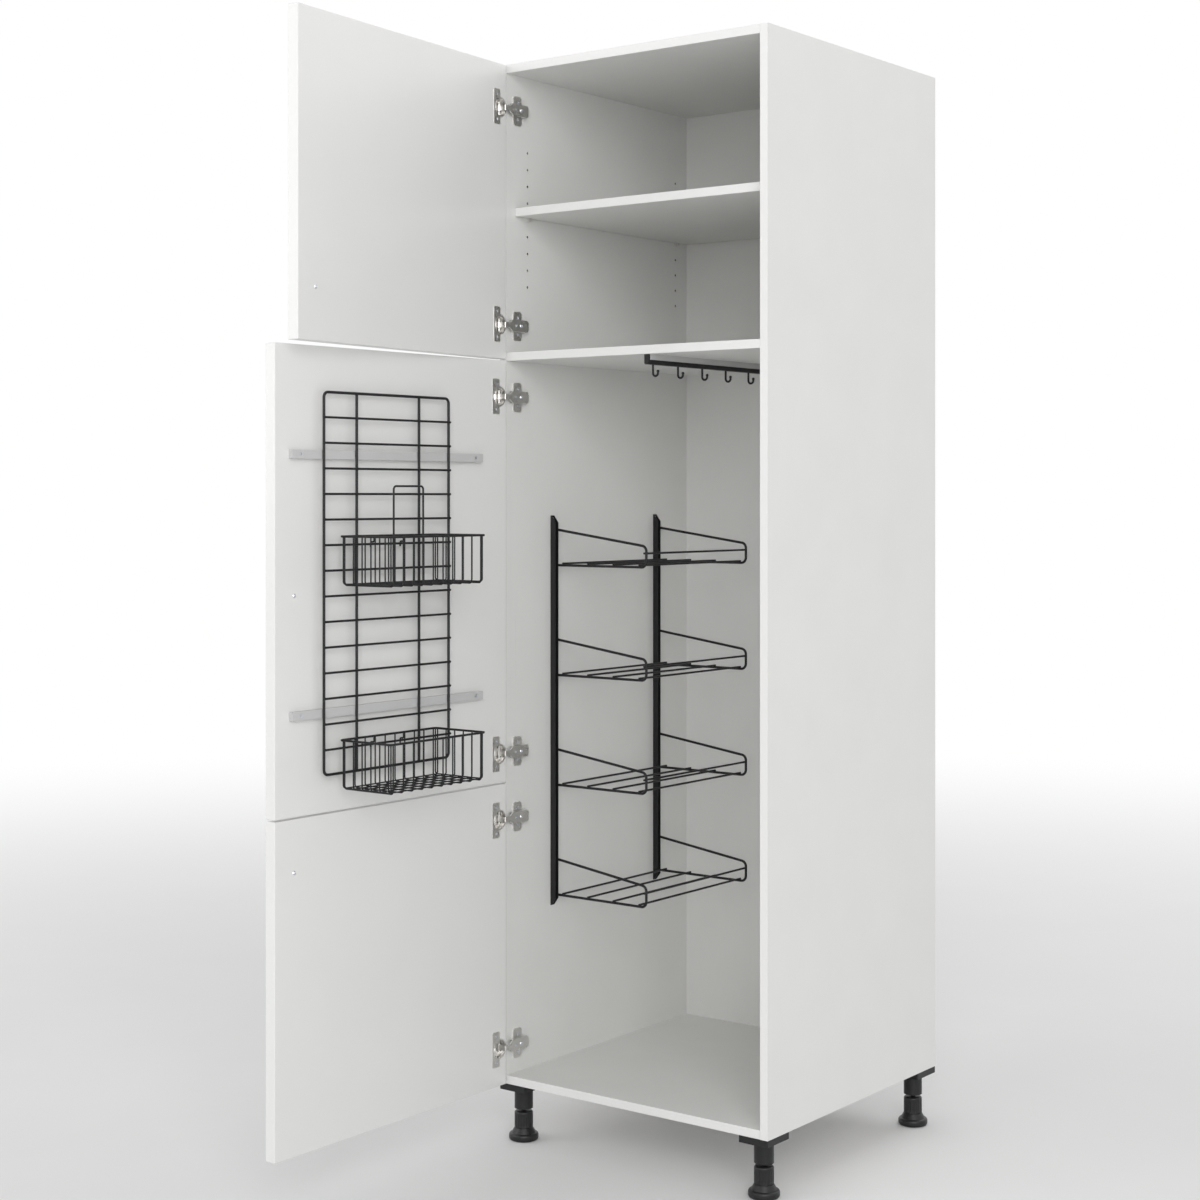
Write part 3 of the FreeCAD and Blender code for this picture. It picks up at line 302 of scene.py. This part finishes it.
zinc_light = (0.80, 0.81, 0.84, 1)
zinc_dark = (0.66, 0.67, 0.71, 1)
zinc_smooth = 0.22
zinc_rough = 0.42
zinc = plated_steel("zinc_plate", zinc_light, zinc_dark, zinc_smooth, zinc_rough)
sharp_edge = math.radians(40)


def closed_forms(name, rings, poles, material):
    """A mesh of closed forms, each a stack of rings between two poles.

    The rings are forms x rings x columns x 3 numbers and the poles forms x 2 x 3. A quad joins each pair of
    columns of one ring to the same pair of the next, and a fan of triangles joins the end rings to the
    poles. Columns that run right-handed about the way from the first pole to the last face outwards.
    """
    forms, count, columns, _ = rings.shape
    size = count * columns + 2
    points = np.concatenate([rings.reshape(forms, -1, 3), poles], axis=1).reshape(-1, 3)
    here = np.arange(columns)
    beside = (here + 1) % columns
    row = np.arange(count - 1)[:, None] * columns
    quads = np.stack([row + here, row + beside, row + columns + beside, row + columns + here], axis=-1)
    end = (count - 1) * columns
    first = np.stack([np.full(columns, size - 2), beside, here], axis=-1)
    last = np.stack([np.full(columns, size - 1), end + here, end + beside], axis=-1)
    shift = (np.arange(forms) * size)[:, None, None]
    quads = (quads.reshape(1, -1, 4) + shift).reshape(-1, 4)
    fans = (np.concatenate([first, last])[None] + shift).reshape(-1, 3)
    mesh = bpy.data.meshes.new(name)
    mesh.from_pydata(points.tolist(), [], quads.tolist() + fans.tolist())
    mesh.shade_smooth()
    mesh.set_sharp_from_angle(angle=sharp_edge)
    mesh.materials.append(material)
    piece = bpy.data.objects.new(name, mesh)
    bpy.context.scene.collection.objects.link(piece)
    return piece


screw_columns = 36
head_rings = 12
head_middle = 0.09
recess_depth = 0.42
slot_half_width = 0.16
slot_reach = 0.62
slot_slope = 0.1
screw_twist = 2.4


def cross_screws(name, seats, way, head, shank, length, crown=0.0):
    """Screws with a cross recess that go into the board along one way, as one piece.

    Over the head, from its middle to its rim, the surface is a crown that falls with the square of the
    radius, less two crossed slots whose sides slope. A flat head goes on down a cone at 45 degrees, and a
    domed one straight in under the rim, to the shank. Each screw is turned on from the one before. The
    recess's sizes are shares of the head's radius.
    """
    over = np.linspace(head_middle, 1, head_rings) * head
    radius = np.concatenate([over, [shank, shank]])
    sunk = head - shank if crown == 0 else 0.0
    depth = np.concatenate([-crown * (1 - (over / head) ** 2), [sunk, length - shank]])
    turn = np.arange(screw_columns) * 2 * math.pi / screw_columns
    along = radius[:, None] * np.cos(turn)
    across = radius[:, None] * np.sin(turn)
    slope = slot_slope * head
    nearer = np.minimum(abs(along), abs(across))
    further = np.maximum(abs(along), abs(across))
    slot_side = np.clip((slot_half_width * head - nearer) / slope + 0.5, 0, 1)
    slot_end = np.clip((slot_reach * head - further) / slope + 0.5, 0, 1)
    on_head = (np.arange(len(radius)) < head_rings)[:, None]
    recess = recess_depth * head * slot_side * slot_end * on_head
    way = np.array(way, float)
    side = np.cross(way, (0, 0, 1) if abs(way[2]) < 0.5 else (1, 0, 0))
    side /= np.linalg.norm(side)
    other = np.cross(way, side)
    seats = np.array(seats, float)[:, None, None]
    twist = (np.arange(len(seats)) * screw_twist)[:, None, None]
    right = along * np.cos(twist) - across * np.sin(twist)
    up = along * np.sin(twist) + across * np.cos(twist)
    face = right[..., None] * side + up[..., None] * other
    rings = seats + face + (depth[:, None] + recess)[..., None] * way
    ends = np.array([recess_depth * head - crown, length])[:, None] * way
    return closed_forms(name, rings, seats[:, 0] + ends, zinc)


flange_half = 0.033
hinge_heights = {}
for door in doors:
    low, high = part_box(f"{door}_hinge_cups")
    hinge_heights[door] = np.array([low.z + flange_half, high.z - flange_half])
all_heights = np.concatenate([hinge_heights[door] for door in doors])

into_left_side = (-1, 0, 0)
plate_face = -0.281
plate_depth = 0.030
plate_screw_spread = 0.016
plate_screw = {"head": 0.004, "shank": 0.0025, "length": 0.013}
plate_heights = np.concatenate([all_heights - plate_screw_spread, all_heights + plate_screw_spread])
plate_seats = [(plate_face, plate_depth, z) for z in plate_heights]
plate_screws = cross_screws("plate_screws", plate_seats, into_left_side, **plate_screw)
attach(plate_screws, "carcass")
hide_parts("hinge_plate_screws")

arm_face = -0.272
arm_screw = {"head": 0.00375, "shank": 0.002, "length": 0.007, "crown": 0.0025}
arm_seats = [(arm_face, plate_depth, z) for z in all_heights]
arm_screws = cross_screws("arm_screws", arm_seats, into_left_side, **arm_screw)
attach(arm_screws, "carcass")
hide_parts("hinge_arm_screws")

gap_screw_depth = 0.015
gap_screw = {"head": 0.0032, "shank": 0.0018, "length": 0.0022, "crown": 0.0009}
gap_seats = [(arm_face, gap_screw_depth, z) for z in all_heights]
gap_screws = cross_screws("gap_screws", gap_seats, into_left_side, **gap_screw)
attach(gap_screws, "carcass")

hinge_line = np.array([-0.290, -0.014, 0.0])
door_open = {"bottom_door": 90.0, "middle_door": 90.0, "top_door": 85.0}


def turned_open(points, door):
    """Points of a shut door, turned clockwise about the hinge line by the angle that the door stands open."""
    angle = math.radians(door_open[door])
    cosine = math.cos(angle)
    sine = math.sin(angle)
    turn = np.array([[cosine, -sine, 0], [sine, cosine, 0], [0, 0, 1]])
    return (np.array(points) - hinge_line) @ turn + hinge_line


wood_screw = {"head": 0.0035, "shank": 0.00175}
cup_screw_length = 0.014
cup_screw_across = -0.268
cup_screw_face = -0.0025
cup_screw_steps = (-0.024, 0.024)
into_shut_door = (0, -1, 0)
into_door = {door: turned_open(hinge_line + into_shut_door, door) - hinge_line for door in doors}
for door in doors:
    heights = [z + step for z in hinge_heights[door] for step in cup_screw_steps]
    cup_seats = turned_open([(cup_screw_across, cup_screw_face, z) for z in heights], door)
    cup_screws = cross_screws(
        f"{door}_flange_screws", cup_seats, into_door[door], length=cup_screw_length, **wood_screw
    )
    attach(cup_screws, door)
    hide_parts(f"{door}_cup_screws")


# Screws of the back: zinc-plated chipboard screws, driven flush through the back into the ends of the
# top, the fixed shelf and the bottom.
into_back = (0, -1, 0)
back_face = 0.600
back_columns = (-0.194, 0.0, 0.194)
back_heights = (0.118, 1.480, 2.022)
back_screw_length = 0.030
back_seats = [(x, back_face, z) for x in back_columns for z in back_heights]
back_screws = cross_screws("back_screws", back_seats, into_back, length=back_screw_length, **wood_screw)
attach(back_screws, "carcass")
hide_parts("back_panel_screws")


# Knobs: turned from stainless steel bar and brushed on the lathe, so fine rings run round their axis. A
# machine screw through the door holds each one.
steel_light = (0.62, 0.62, 0.61, 1)
steel_dark = (0.50, 0.50, 0.49, 1)
steel_roughness = 0.22
turning_per_metre = 2400.0
turning_stretch = (1, 0.05, 0.05)
turning_roughness = 0.2
turning_depth = 0.00003
steel, place = new_finish("brushed_steel")
turning = place.noise(turning_per_metre, stretch=turning_stretch)
shade(
    place,
    {
        "Base Color": turning.mix(steel_dark, steel_light),
        "Metallic": 1.0,
        "Roughness": steel_roughness + turning_roughness * turning,
    },
    turning,
    turning_depth,
)
dress(steel, [f"{door}_knob" for door in doors])

knob_across = 0.253
door_face = -0.0035
knob_heights = {"bottom_door": 0.5865, "middle_door": 1.050, "top_door": 1.565}
machine_screw = {"head": 0.00375, "shank": 0.002, "length": 0.032, "crown": 0.0025}
for door, z in knob_heights.items():
    knob_seats = turned_open([(knob_across, door_face, z)], door)
    knob_screw = cross_screws(f"{door}_machine_screw", knob_seats, into_door[door], **machine_screw)
    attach(knob_screw, door)
    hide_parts(f"{door}_knob_screw")


# Legs: black moulded plastic. A plate is screwed under each corner, a socket is pushed on its spigot, and
# the foot's threaded stem turns in the socket's floor.
plastic_light = (0.016, 0.016, 0.017, 1)
plastic_dark = (0.008, 0.008, 0.009, 1)
plastic_clouds = 30.0
plastic_roughness = 0.30
spark_per_metre = 1800.0
spark_roughness = 0.18
spark_depth = 0.00004
plastic, place = new_finish("moulded_plastic")
spark = place.noise(spark_per_metre)
cloud = place.noise(plastic_clouds, detail=3.0)
shade(
    place,
    {
        "Base Color": cloud.mix(plastic_dark, plastic_light),
        "Roughness": plastic_roughness + spark_roughness * spark,
        "Specular IOR Level": 0.4,
    },
    spark,
    spark_depth,
)
dress(plastic, ["leg_plates", "leg_sockets"])

leg_places = {
    "front_left": (-0.270, 0.035),
    "front_right": (0.270, 0.035),
    "back_left": (-0.270, 0.565),
    "back_right": (0.270, 0.565),
}
sole_rings = np.array([0.4, 0.8])
foot_rim = 0.028
foot_rim_round = 0.005
foot_rim_top = 0.014
foot_cone_top = 0.025
foot_groove = 0.0015
round_rings = 7
collar = 0.0175
collar_top = 0.055
collar_round = 0.004
collar_rings = 9
collar_margin = 0.001
flute_count = 20
flute_columns = 5
flute_depth = 0.0008
flute_fade = 0.003
stem = 0.0049
stem_root = 0.0043
stem_top = 0.101
thread_pitch = 0.0025
thread_start = 0.0004
thread_rings = 120


def foot_profile():
    """Radius and height from the middle of the sole up to the stem: a flat sole, a rim with two rounded
    corners, a cone, a groove, the collar with a rounded shoulder, and the foot of the stem."""
    turn = np.linspace(0, math.pi / 2, round_rings)
    low = np.stack([np.sin(turn), 1 - np.cos(turn)]) * foot_rim_round
    high = np.stack([np.cos(turn), np.sin(turn)]) * foot_rim_round
    shoulder = np.stack([np.cos(turn), np.sin(turn)]) * collar_round
    inner = foot_rim - foot_rim_round
    groove = foot_cone_top - foot_groove
    shoulder_foot = collar_top - collar_round
    radius = np.concatenate([
        sole_rings * inner,
        inner + low[0],
        inner + high[0],
        [collar, collar - foot_groove, collar - foot_groove, collar],
        np.full(collar_rings, collar),
        collar - collar_round + shoulder[0],
        [stem],
    ])
    height = np.concatenate([
        np.zeros(len(sole_rings)),
        low[1],
        foot_rim_top - foot_rim_round + high[1],
        [groove, groove, foot_cone_top, foot_cone_top],
        np.linspace(foot_cone_top + collar_margin, shoulder_foot - collar_margin, collar_rings),
        shoulder_foot + shoulder[1],
        [collar_top],
    ])
    return radius, height


def threaded_foot(name, x, y):
    """A foot whose radius follows the profile, less flutes round the collar.

    A flute's depth is a cosine of the angle and fades at both ends. Up the stem the radius swings between
    root and crest with height over pitch less the share of a turn, which makes a helix.
    """
    columns = flute_columns * flute_count
    turn = np.arange(columns) * 2 * math.pi / columns
    radius, height = foot_profile()
    below = np.clip((height - foot_cone_top) / flute_fade, 0, 1)
    above = np.clip((collar_top - collar_round - height) / flute_fade, 0, 1)
    fade = below * above
    wave = 0.5 - 0.5 * np.cos(flute_count * turn)
    turned = radius[:, None] - flute_depth * fade[:, None] * wave
    climb = np.linspace(collar_top + thread_start, stem_top, thread_rings)
    phase = (climb[:, None] / thread_pitch - turn / (2 * math.pi)) % 1
    thread = stem_root + (stem - stem_root) * (1 - abs(2 * phase - 1))
    reach = np.concatenate([turned, thread])
    level = np.concatenate([height, climb])
    rise = np.broadcast_to(level[:, None], reach.shape)
    rings = np.stack([x + reach * np.cos(turn), y + reach * np.sin(turn), rise], axis=-1)
    poles = np.array([[x, y, 0], [x, y, stem_top]])
    return closed_forms(name, rings[None], poles[None], plastic)


for leg, (x, y) in leg_places.items():
    foot = threaded_foot(f"{leg}_foot", x, y)
    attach(foot, f"foot_{leg}")
    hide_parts(f"foot_{leg}")

upwards = (0, 0, 1)
leg_plate_under = 0.098
leg_screw_length = 0.022
leg_screw_reach = (-0.292, -0.250, 0.250, 0.292)
leg_screw_depths = (0.010, 0.060, 0.540, 0.590)
leg_seats = [(x, y, leg_plate_under) for x in leg_screw_reach for y in leg_screw_depths]
leg_screws = cross_screws("leg_screws", leg_seats, upwards, length=leg_screw_length, **wood_screw)
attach(leg_screws, "carcass")
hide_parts("leg_plate_screws")


# Wire rack: steel wire bent and spot welded into four tiers, between two channel posts on the left wall,
# all coated in satin black powder.
coat_light = (0.015, 0.015, 0.016, 1)
coat_dark = (0.008, 0.008, 0.009, 1)
coat_clouds = 14.0
coat_roughness = 0.34
powder_per_metre = 900.0
powder_roughness = 0.16
powder_depth = 0.00006
coat, place = new_finish("black_powder_coat")
powder = place.noise(powder_per_metre)
cloud = place.noise(coat_clouds, detail=3.0)
shade(
    place,
    {
        "Base Color": cloud.mix(coat_dark, coat_light),
        "Roughness": coat_roughness + powder_roughness * powder,
        "Specular IOR Level": 0.35,
    },
    powder,
    powder_depth,
)
tiers = (1, 2, 3, 4)
dress(coat, ["rack_uprights"] + [f"rack_tier_{tier}" for tier in tiers])
bead_columns = 8
bead_tilts = np.radians([-45.0, 0.0, 45.0])


def weld_beads(name, body, places, reach):
    """Beads of metal at welded crossings: spheres of three rings each, scaled along each axis."""
    turn = np.arange(bead_columns) * 2 * math.pi / bead_columns
    tilt = bead_tilts[:, None]
    flat = np.broadcast_to(np.sin(tilt), (len(bead_tilts), bead_columns))
    ball = np.stack([np.cos(tilt) * np.cos(turn), np.cos(tilt) * np.sin(turn), flat], axis=-1)
    places = np.array(places, float)
    rings = places[:, None, None] + ball * reach
    poles = places[:, None] + np.array([(0, 0, -1), (0, 0, 1)]) * reach
    beads = closed_forms(name, rings, poles, coat)
    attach(beads, body)


tier_wire_radius = 0.0025
tier_wire_lines = (0.14425, 0.48275)
tier_floor_wires = np.linspace(-0.260, -0.0775, 4)
tier_floor_rise = 0.0022
tier_rail_line = -0.0645
tier_rail_rise = 0.026
tier_bead = (0.0029, 0.0029, 0.0016)
for tier in tiers:
    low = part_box(f"rack_tier_{tier}")[0].z + tier_wire_radius
    beads = [(x, y, low + tier_floor_rise) for x in tier_floor_wires for y in tier_wire_lines]
    beads += [(tier_rail_line, y, low + tier_rail_rise) for y in tier_wire_lines]
    weld_beads(f"tier_{tier}_welds", "carcass", beads, tier_bead)

post_face = -0.2825
post_lines = (0.138, 0.4765)
post_screw_heights = (0.433, 1.173)
post_screw_length = 0.014
post_seats = [(post_face, y, z) for y in post_lines for z in post_screw_heights]
post_screws = cross_screws("post_screws", post_seats, into_left_side, length=post_screw_length, **wood_screw)
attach(post_screws, "carcass")
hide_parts("rack_screws")


# Hook rail: a black bar slides in a steel channel with a light grey coat, under the fixed shelf. Five wire
# hooks are pushed into the bar, and a plastic plate sits on its front end.
grey_light = (0.60, 0.60, 0.60, 1)
grey_dark = (0.54, 0.54, 0.54, 1)
grey_clouds = 20.0
grey_roughness = 0.32
grey_powder_per_metre = 700.0
grey_powder_roughness = 0.12
grey_powder_depth = 0.00004
grey_coat, place = new_finish("light_grey_coat")
powder = place.noise(grey_powder_per_metre)
cloud = place.noise(grey_clouds)
shade(
    place,
    {
        "Base Color": cloud.mix(grey_dark, grey_light),
        "Roughness": grey_roughness + grey_powder_roughness * powder,
    },
    powder,
    grey_powder_depth,
)
dress(grey_coat, ["hook_rail_guide"])
dress(zinc, ["hook_rail_guide_screws"])
dress(coat, ["hook_rail", "rail_hooks"])
dress(plastic, ["hook_rail_end_plate"])


# Door grid: a frame bent from one wire, its ends welded together at the middle of the lower side, with two
# uprights in it and fourteen thinner cross wires spot welded over them, coated in the black of the rack.
# Two pressed bars in the light grey of the rail's channel, screwed to the middle door, carry it.
wire_columns = 12
bend_rings = 7


def bent_wires(name, paths, bend, radius, normal):
    """Round wires with square corners, as one piece, each bent in the plane that the normal is square to.

    The paths are wires x corners x 3 numbers. At a corner the wire's middle follows a quarter circle: it goes
    back along the way in by one less the sine, and on along the way out by one less the cosine, times the
    bend. A ring stands square to the wire at its ends and at each point of a quarter circle: the radius times
    the cosine along the normal, plus the radius times the sine across it.
    """
    quarter = np.linspace(0, math.pi / 2, bend_rings)[:, None]
    paths = np.array(paths, float)
    normal = np.array(normal, float)
    legs = np.diff(paths, axis=1)
    ways = legs / np.linalg.norm(legs, axis=-1, keepdims=True)
    way_in = ways[:, :-1, None]
    way_out = ways[:, 1:, None]
    bends = paths[:, 1:-1, None] + bend * ((np.sin(quarter) - 1) * way_in + (1 - np.cos(quarter)) * way_out)
    turns = np.cos(quarter) * way_in + np.sin(quarter) * way_out
    wires = len(paths)
    line = np.concatenate([paths[:, :1], bends.reshape(wires, -1, 3), paths[:, -1:]], axis=1)
    heading = np.concatenate([ways[:, :1], turns.reshape(wires, -1, 3), ways[:, -1:]], axis=1)
    across = np.cross(heading, normal)[:, :, None]
    angle = (np.arange(wire_columns) * 2 * math.pi / wire_columns)[:, None]
    rings = line[:, :, None] + radius * (np.cos(angle) * normal + np.sin(angle) * across)
    return closed_forms(name, rings, line[:, [0, -1]], coat)


open_door_face = -0.2795
open_door_edge = -0.006
straight = 0.0
across_grid = (1, 0, 0)
upright_line = open_door_face + 0.01255
upright_radius = 0.0025
frame_bend = 0.009
frame_low = 0.745
frame_high = 1.3935
frame_gap = 0.0001
grid_uprights = open_door_edge - np.array([0.177, 0.25625, 0.41475, 0.494])
near_edge, *inner_uprights, far_edge = grid_uprights
frame_middle = (near_edge + far_edge) / 2
frame_path = [
    (upright_line, frame_middle + frame_gap, frame_low),
    (upright_line, near_edge, frame_low),
    (upright_line, near_edge, frame_high),
    (upright_line, far_edge, frame_high),
    (upright_line, far_edge, frame_low),
    (upright_line, frame_middle - frame_gap, frame_low),
]
grid_frame = bent_wires("grid_frame", [frame_path], frame_bend, upright_radius, across_grid)
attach(grid_frame, "middle_door")
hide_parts("door_grid")

upright_paths = [[(upright_line, y, frame_low), (upright_line, y, frame_high)] for y in inner_uprights]
uprights = bent_wires("grid_uprights", upright_paths, straight, upright_radius, across_grid)
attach(uprights, "middle_door")

cross_line = open_door_face + 0.01605
cross_radius = 0.002
cross_foot = 0.7445
cross_pitch = 0.0433
cross_heights = cross_foot + cross_pitch * np.arange(1, 15)
cross_over = 0.001
cross_ends = (near_edge + cross_over, far_edge - cross_over)
cross_paths = [[(cross_line, y, z) for y in cross_ends] for z in cross_heights]
cross_wires = bent_wires("grid_cross_wires", cross_paths, straight, cross_radius, across_grid)
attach(cross_wires, "middle_door")

cross_weld_line = -0.2649
cross_bead = (0.0013, 0.0031, 0.0031)
cross_beads = [(cross_weld_line, y, z) for y in grid_uprights for z in cross_heights]
weld_beads("grid_welds", "middle_door", cross_beads, cross_bead)
frame_bead = (0.0029, 0.0029, 0.0029)
joint_heights = (frame_low + upright_radius, frame_high - upright_radius)
frame_beads = [(upright_line, y, z) for y in inner_uprights for z in joint_heights]
frame_beads.append((upright_line, frame_middle, frame_low))
weld_beads("frame_welds", "middle_door", frame_beads, frame_bead)

dress(grey_coat, ["grid_bars"])
bar_face = -0.2695
bar_screw_lines = (-0.104, -0.550)
bar_screw_heights = (0.8495, 1.2875)
bar_screw_length = 0.022
bar_seats = [(bar_face, y, z) for y in bar_screw_lines for z in bar_screw_heights]
bar_screws = cross_screws("bar_screws", bar_seats, into_left_side, length=bar_screw_length, **wood_screw)
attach(bar_screws, "middle_door")
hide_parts("grid_bar_screws")


# Baskets: thin wires bent into a trough both ways and welded inside a thicker rim, with one more in the
# corners at each end. Two hooks behind the rim hang each on the grid, and a bent handle stands in the
# upper one.
basket_rims = {"upper_basket": 1.1486, "lower_basket": 0.8022}
basket_floor_drop = 0.0823
basket_rows = open_door_edge - np.linspace(0.230, 0.455, 10)
basket_columns = open_door_face + np.linspace(0.02855, 0.130, 6)
rim_weld_lines = (open_door_face + 0.02255, open_door_face + 0.136)
rim_weld_ends = (open_door_edge - 0.224, open_door_edge - 0.461)
along_door = (0, 1, 0)
corner_back = open_door_face + 0.02415
corner_front = open_door_face + 0.1344
corner_ends = (open_door_edge - 0.2256, open_door_edge - 0.4594)
corner_rise = 0.00125
corner_bend = 0.005
corner_radius = 0.00125
corner_weld_lines = (open_door_face + 0.0237, open_door_face + 0.1349)
corner_weld_ends = (open_door_edge - 0.2252, open_door_edge - 0.4598)
foot_weld_ends = (open_door_edge - 0.2260, open_door_edge - 0.4590)
foot_weld_rise = 0.0018
basket_bead = (0.0017, 0.0017, 0.0011)
for basket, rim_height in basket_rims.items():
    floor_height = rim_height - basket_floor_drop
    corner_height = floor_height + corner_rise
    corner_paths = [
        [
            (corner_back, y, rim_height),
            (corner_back, y, corner_height),
            (corner_front, y, corner_height),
            (corner_front, y, rim_height),
        ]
        for y in corner_ends
    ]
    corners = bent_wires(f"{basket}_corner_wires", corner_paths, corner_bend, corner_radius, along_door)
    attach(corners, basket)
    beads = [(x, y, floor_height) for x in basket_columns for y in basket_rows]
    beads += [(x, y, rim_height) for x in rim_weld_lines for y in basket_rows]
    beads += [(x, y, rim_height) for x in basket_columns for y in rim_weld_ends]
    beads += [(x, y, rim_height) for x in corner_weld_lines for y in corner_weld_ends]
    beads += [(x, y, floor_height + foot_weld_rise) for x in basket_columns for y in foot_weld_ends]
    weld_beads(f"{basket}_welds", basket, beads, basket_bead)
    dress(coat, [basket, f"{basket}_hooks"])
dress(coat, ["upper_basket_handle"])


# Floor and light: a flat pale floor that goes over into white with the distance, and three soft lamps at a
# plain level.
floor_reach = 14.0
floor_sides = 64
floor_near = 0.9
floor_far = 6.5
floor_light = (0.83, 0.83, 0.83, 1)
floor_dark = (0.80, 0.80, 0.80, 1)
floor_roughness = 0.9
mottle_per_metre = 3.0
mottle_depth = 0.0001
floor_turn = np.linspace(0, 2 * math.pi, floor_sides, endpoint=False)
floor_edge = np.stack([np.cos(floor_turn), np.sin(floor_turn), np.zeros(floor_sides)], axis=1) * floor_reach
floor_mesh = bpy.data.meshes.new("floor")
floor_mesh.from_pydata(floor_edge.tolist(), [], [list(range(floor_sides))])
floor = bpy.data.objects.new("floor", floor_mesh)
bpy.context.scene.collection.objects.link(floor)


def seen_rays(tree):
    """1 for rays that look, straight, in a mirror or through glass, and 0 for rays that only light."""
    path = tree.nodes.new("ShaderNodeLightPath")
    camera, glossy, through = (
        Socket(tree, path.outputs[f"Is {kind} Ray"]) for kind in ("Camera", "Glossy", "Transmission")
    )
    return camera.maths("MAXIMUM", camera.maths("MAXIMUM", camera, glossy), through)


paper, place = new_finish("floor_paper")
mottle = place.noise(mottle_per_metre)
paper_grey = mottle.mix(floor_dark, floor_light)
shade(place, {"Base Color": paper_grey, "Roughness": floor_roughness}, mottle, mottle_depth)
distance = place.node("ShaderNodeVectorMath", {"operation": "LENGTH"}, {0: place}, "Value")
limits = {"Value": distance, "From Min": floor_near, "From Max": floor_far}
far = place.node("ShaderNodeMapRange", {"interpolation_type": "SMOOTHSTEP"}, limits)
white = place.node("ShaderNodeEmission", {}, {"Color": (1, 1, 1, 1), "Strength": 1.0})
nodes = paper.node_tree.nodes
lit = Socket(paper.node_tree, nodes["Principled BSDF"].outputs[0])
both = place.node("ShaderNodeMixShader", {}, {0: far * seen_rays(paper.node_tree), 1: lit, 2: white})
place.feed(nodes["Material Output"], {"Surface": both})
floor_mesh.materials.append(paper)

lamps = {
    "key": ((4.0, -4.6, 2.7), 3.6, 175.0),
    "fill": ((-3.4, -3.4, 2.6), 3.0, 45.0),
    "rear": ((1.0, 3.2, 4.2), 2.5, 36.0),
}
unit_middle = np.array([0.0, 0.1, 1.0])
for name, (spot, size, power) in lamps.items():
    lamp = bpy.data.lights.new(name, "AREA")
    lamp.shape = "SQUARE"
    lamp.size = size
    lamp.energy = power
    holder = bpy.data.objects.new(name, lamp)
    holder.location = spot
    away = np.array(spot) - unit_middle
    turn = math.atan2(away[0], -away[1])
    tilt = math.atan2(math.hypot(away[0], away[1]), away[2])
    holder.rotation_euler = (tilt, 0, turn)
    bpy.context.scene.collection.objects.link(holder)

room_light = 0.58
world = bpy.data.worlds.new("studio")
world.use_nodes = True
background = world.node_tree.nodes["Background"]
background.inputs["Color"].default_value = (1, 1, 1, 1)
strength = room_light + (1 - room_light) * seen_rays(world.node_tree)
strength.feed(background, {"Strength": strength})
bpy.context.scene.world = world
bpy.context.scene.view_settings.view_transform = "Standard"
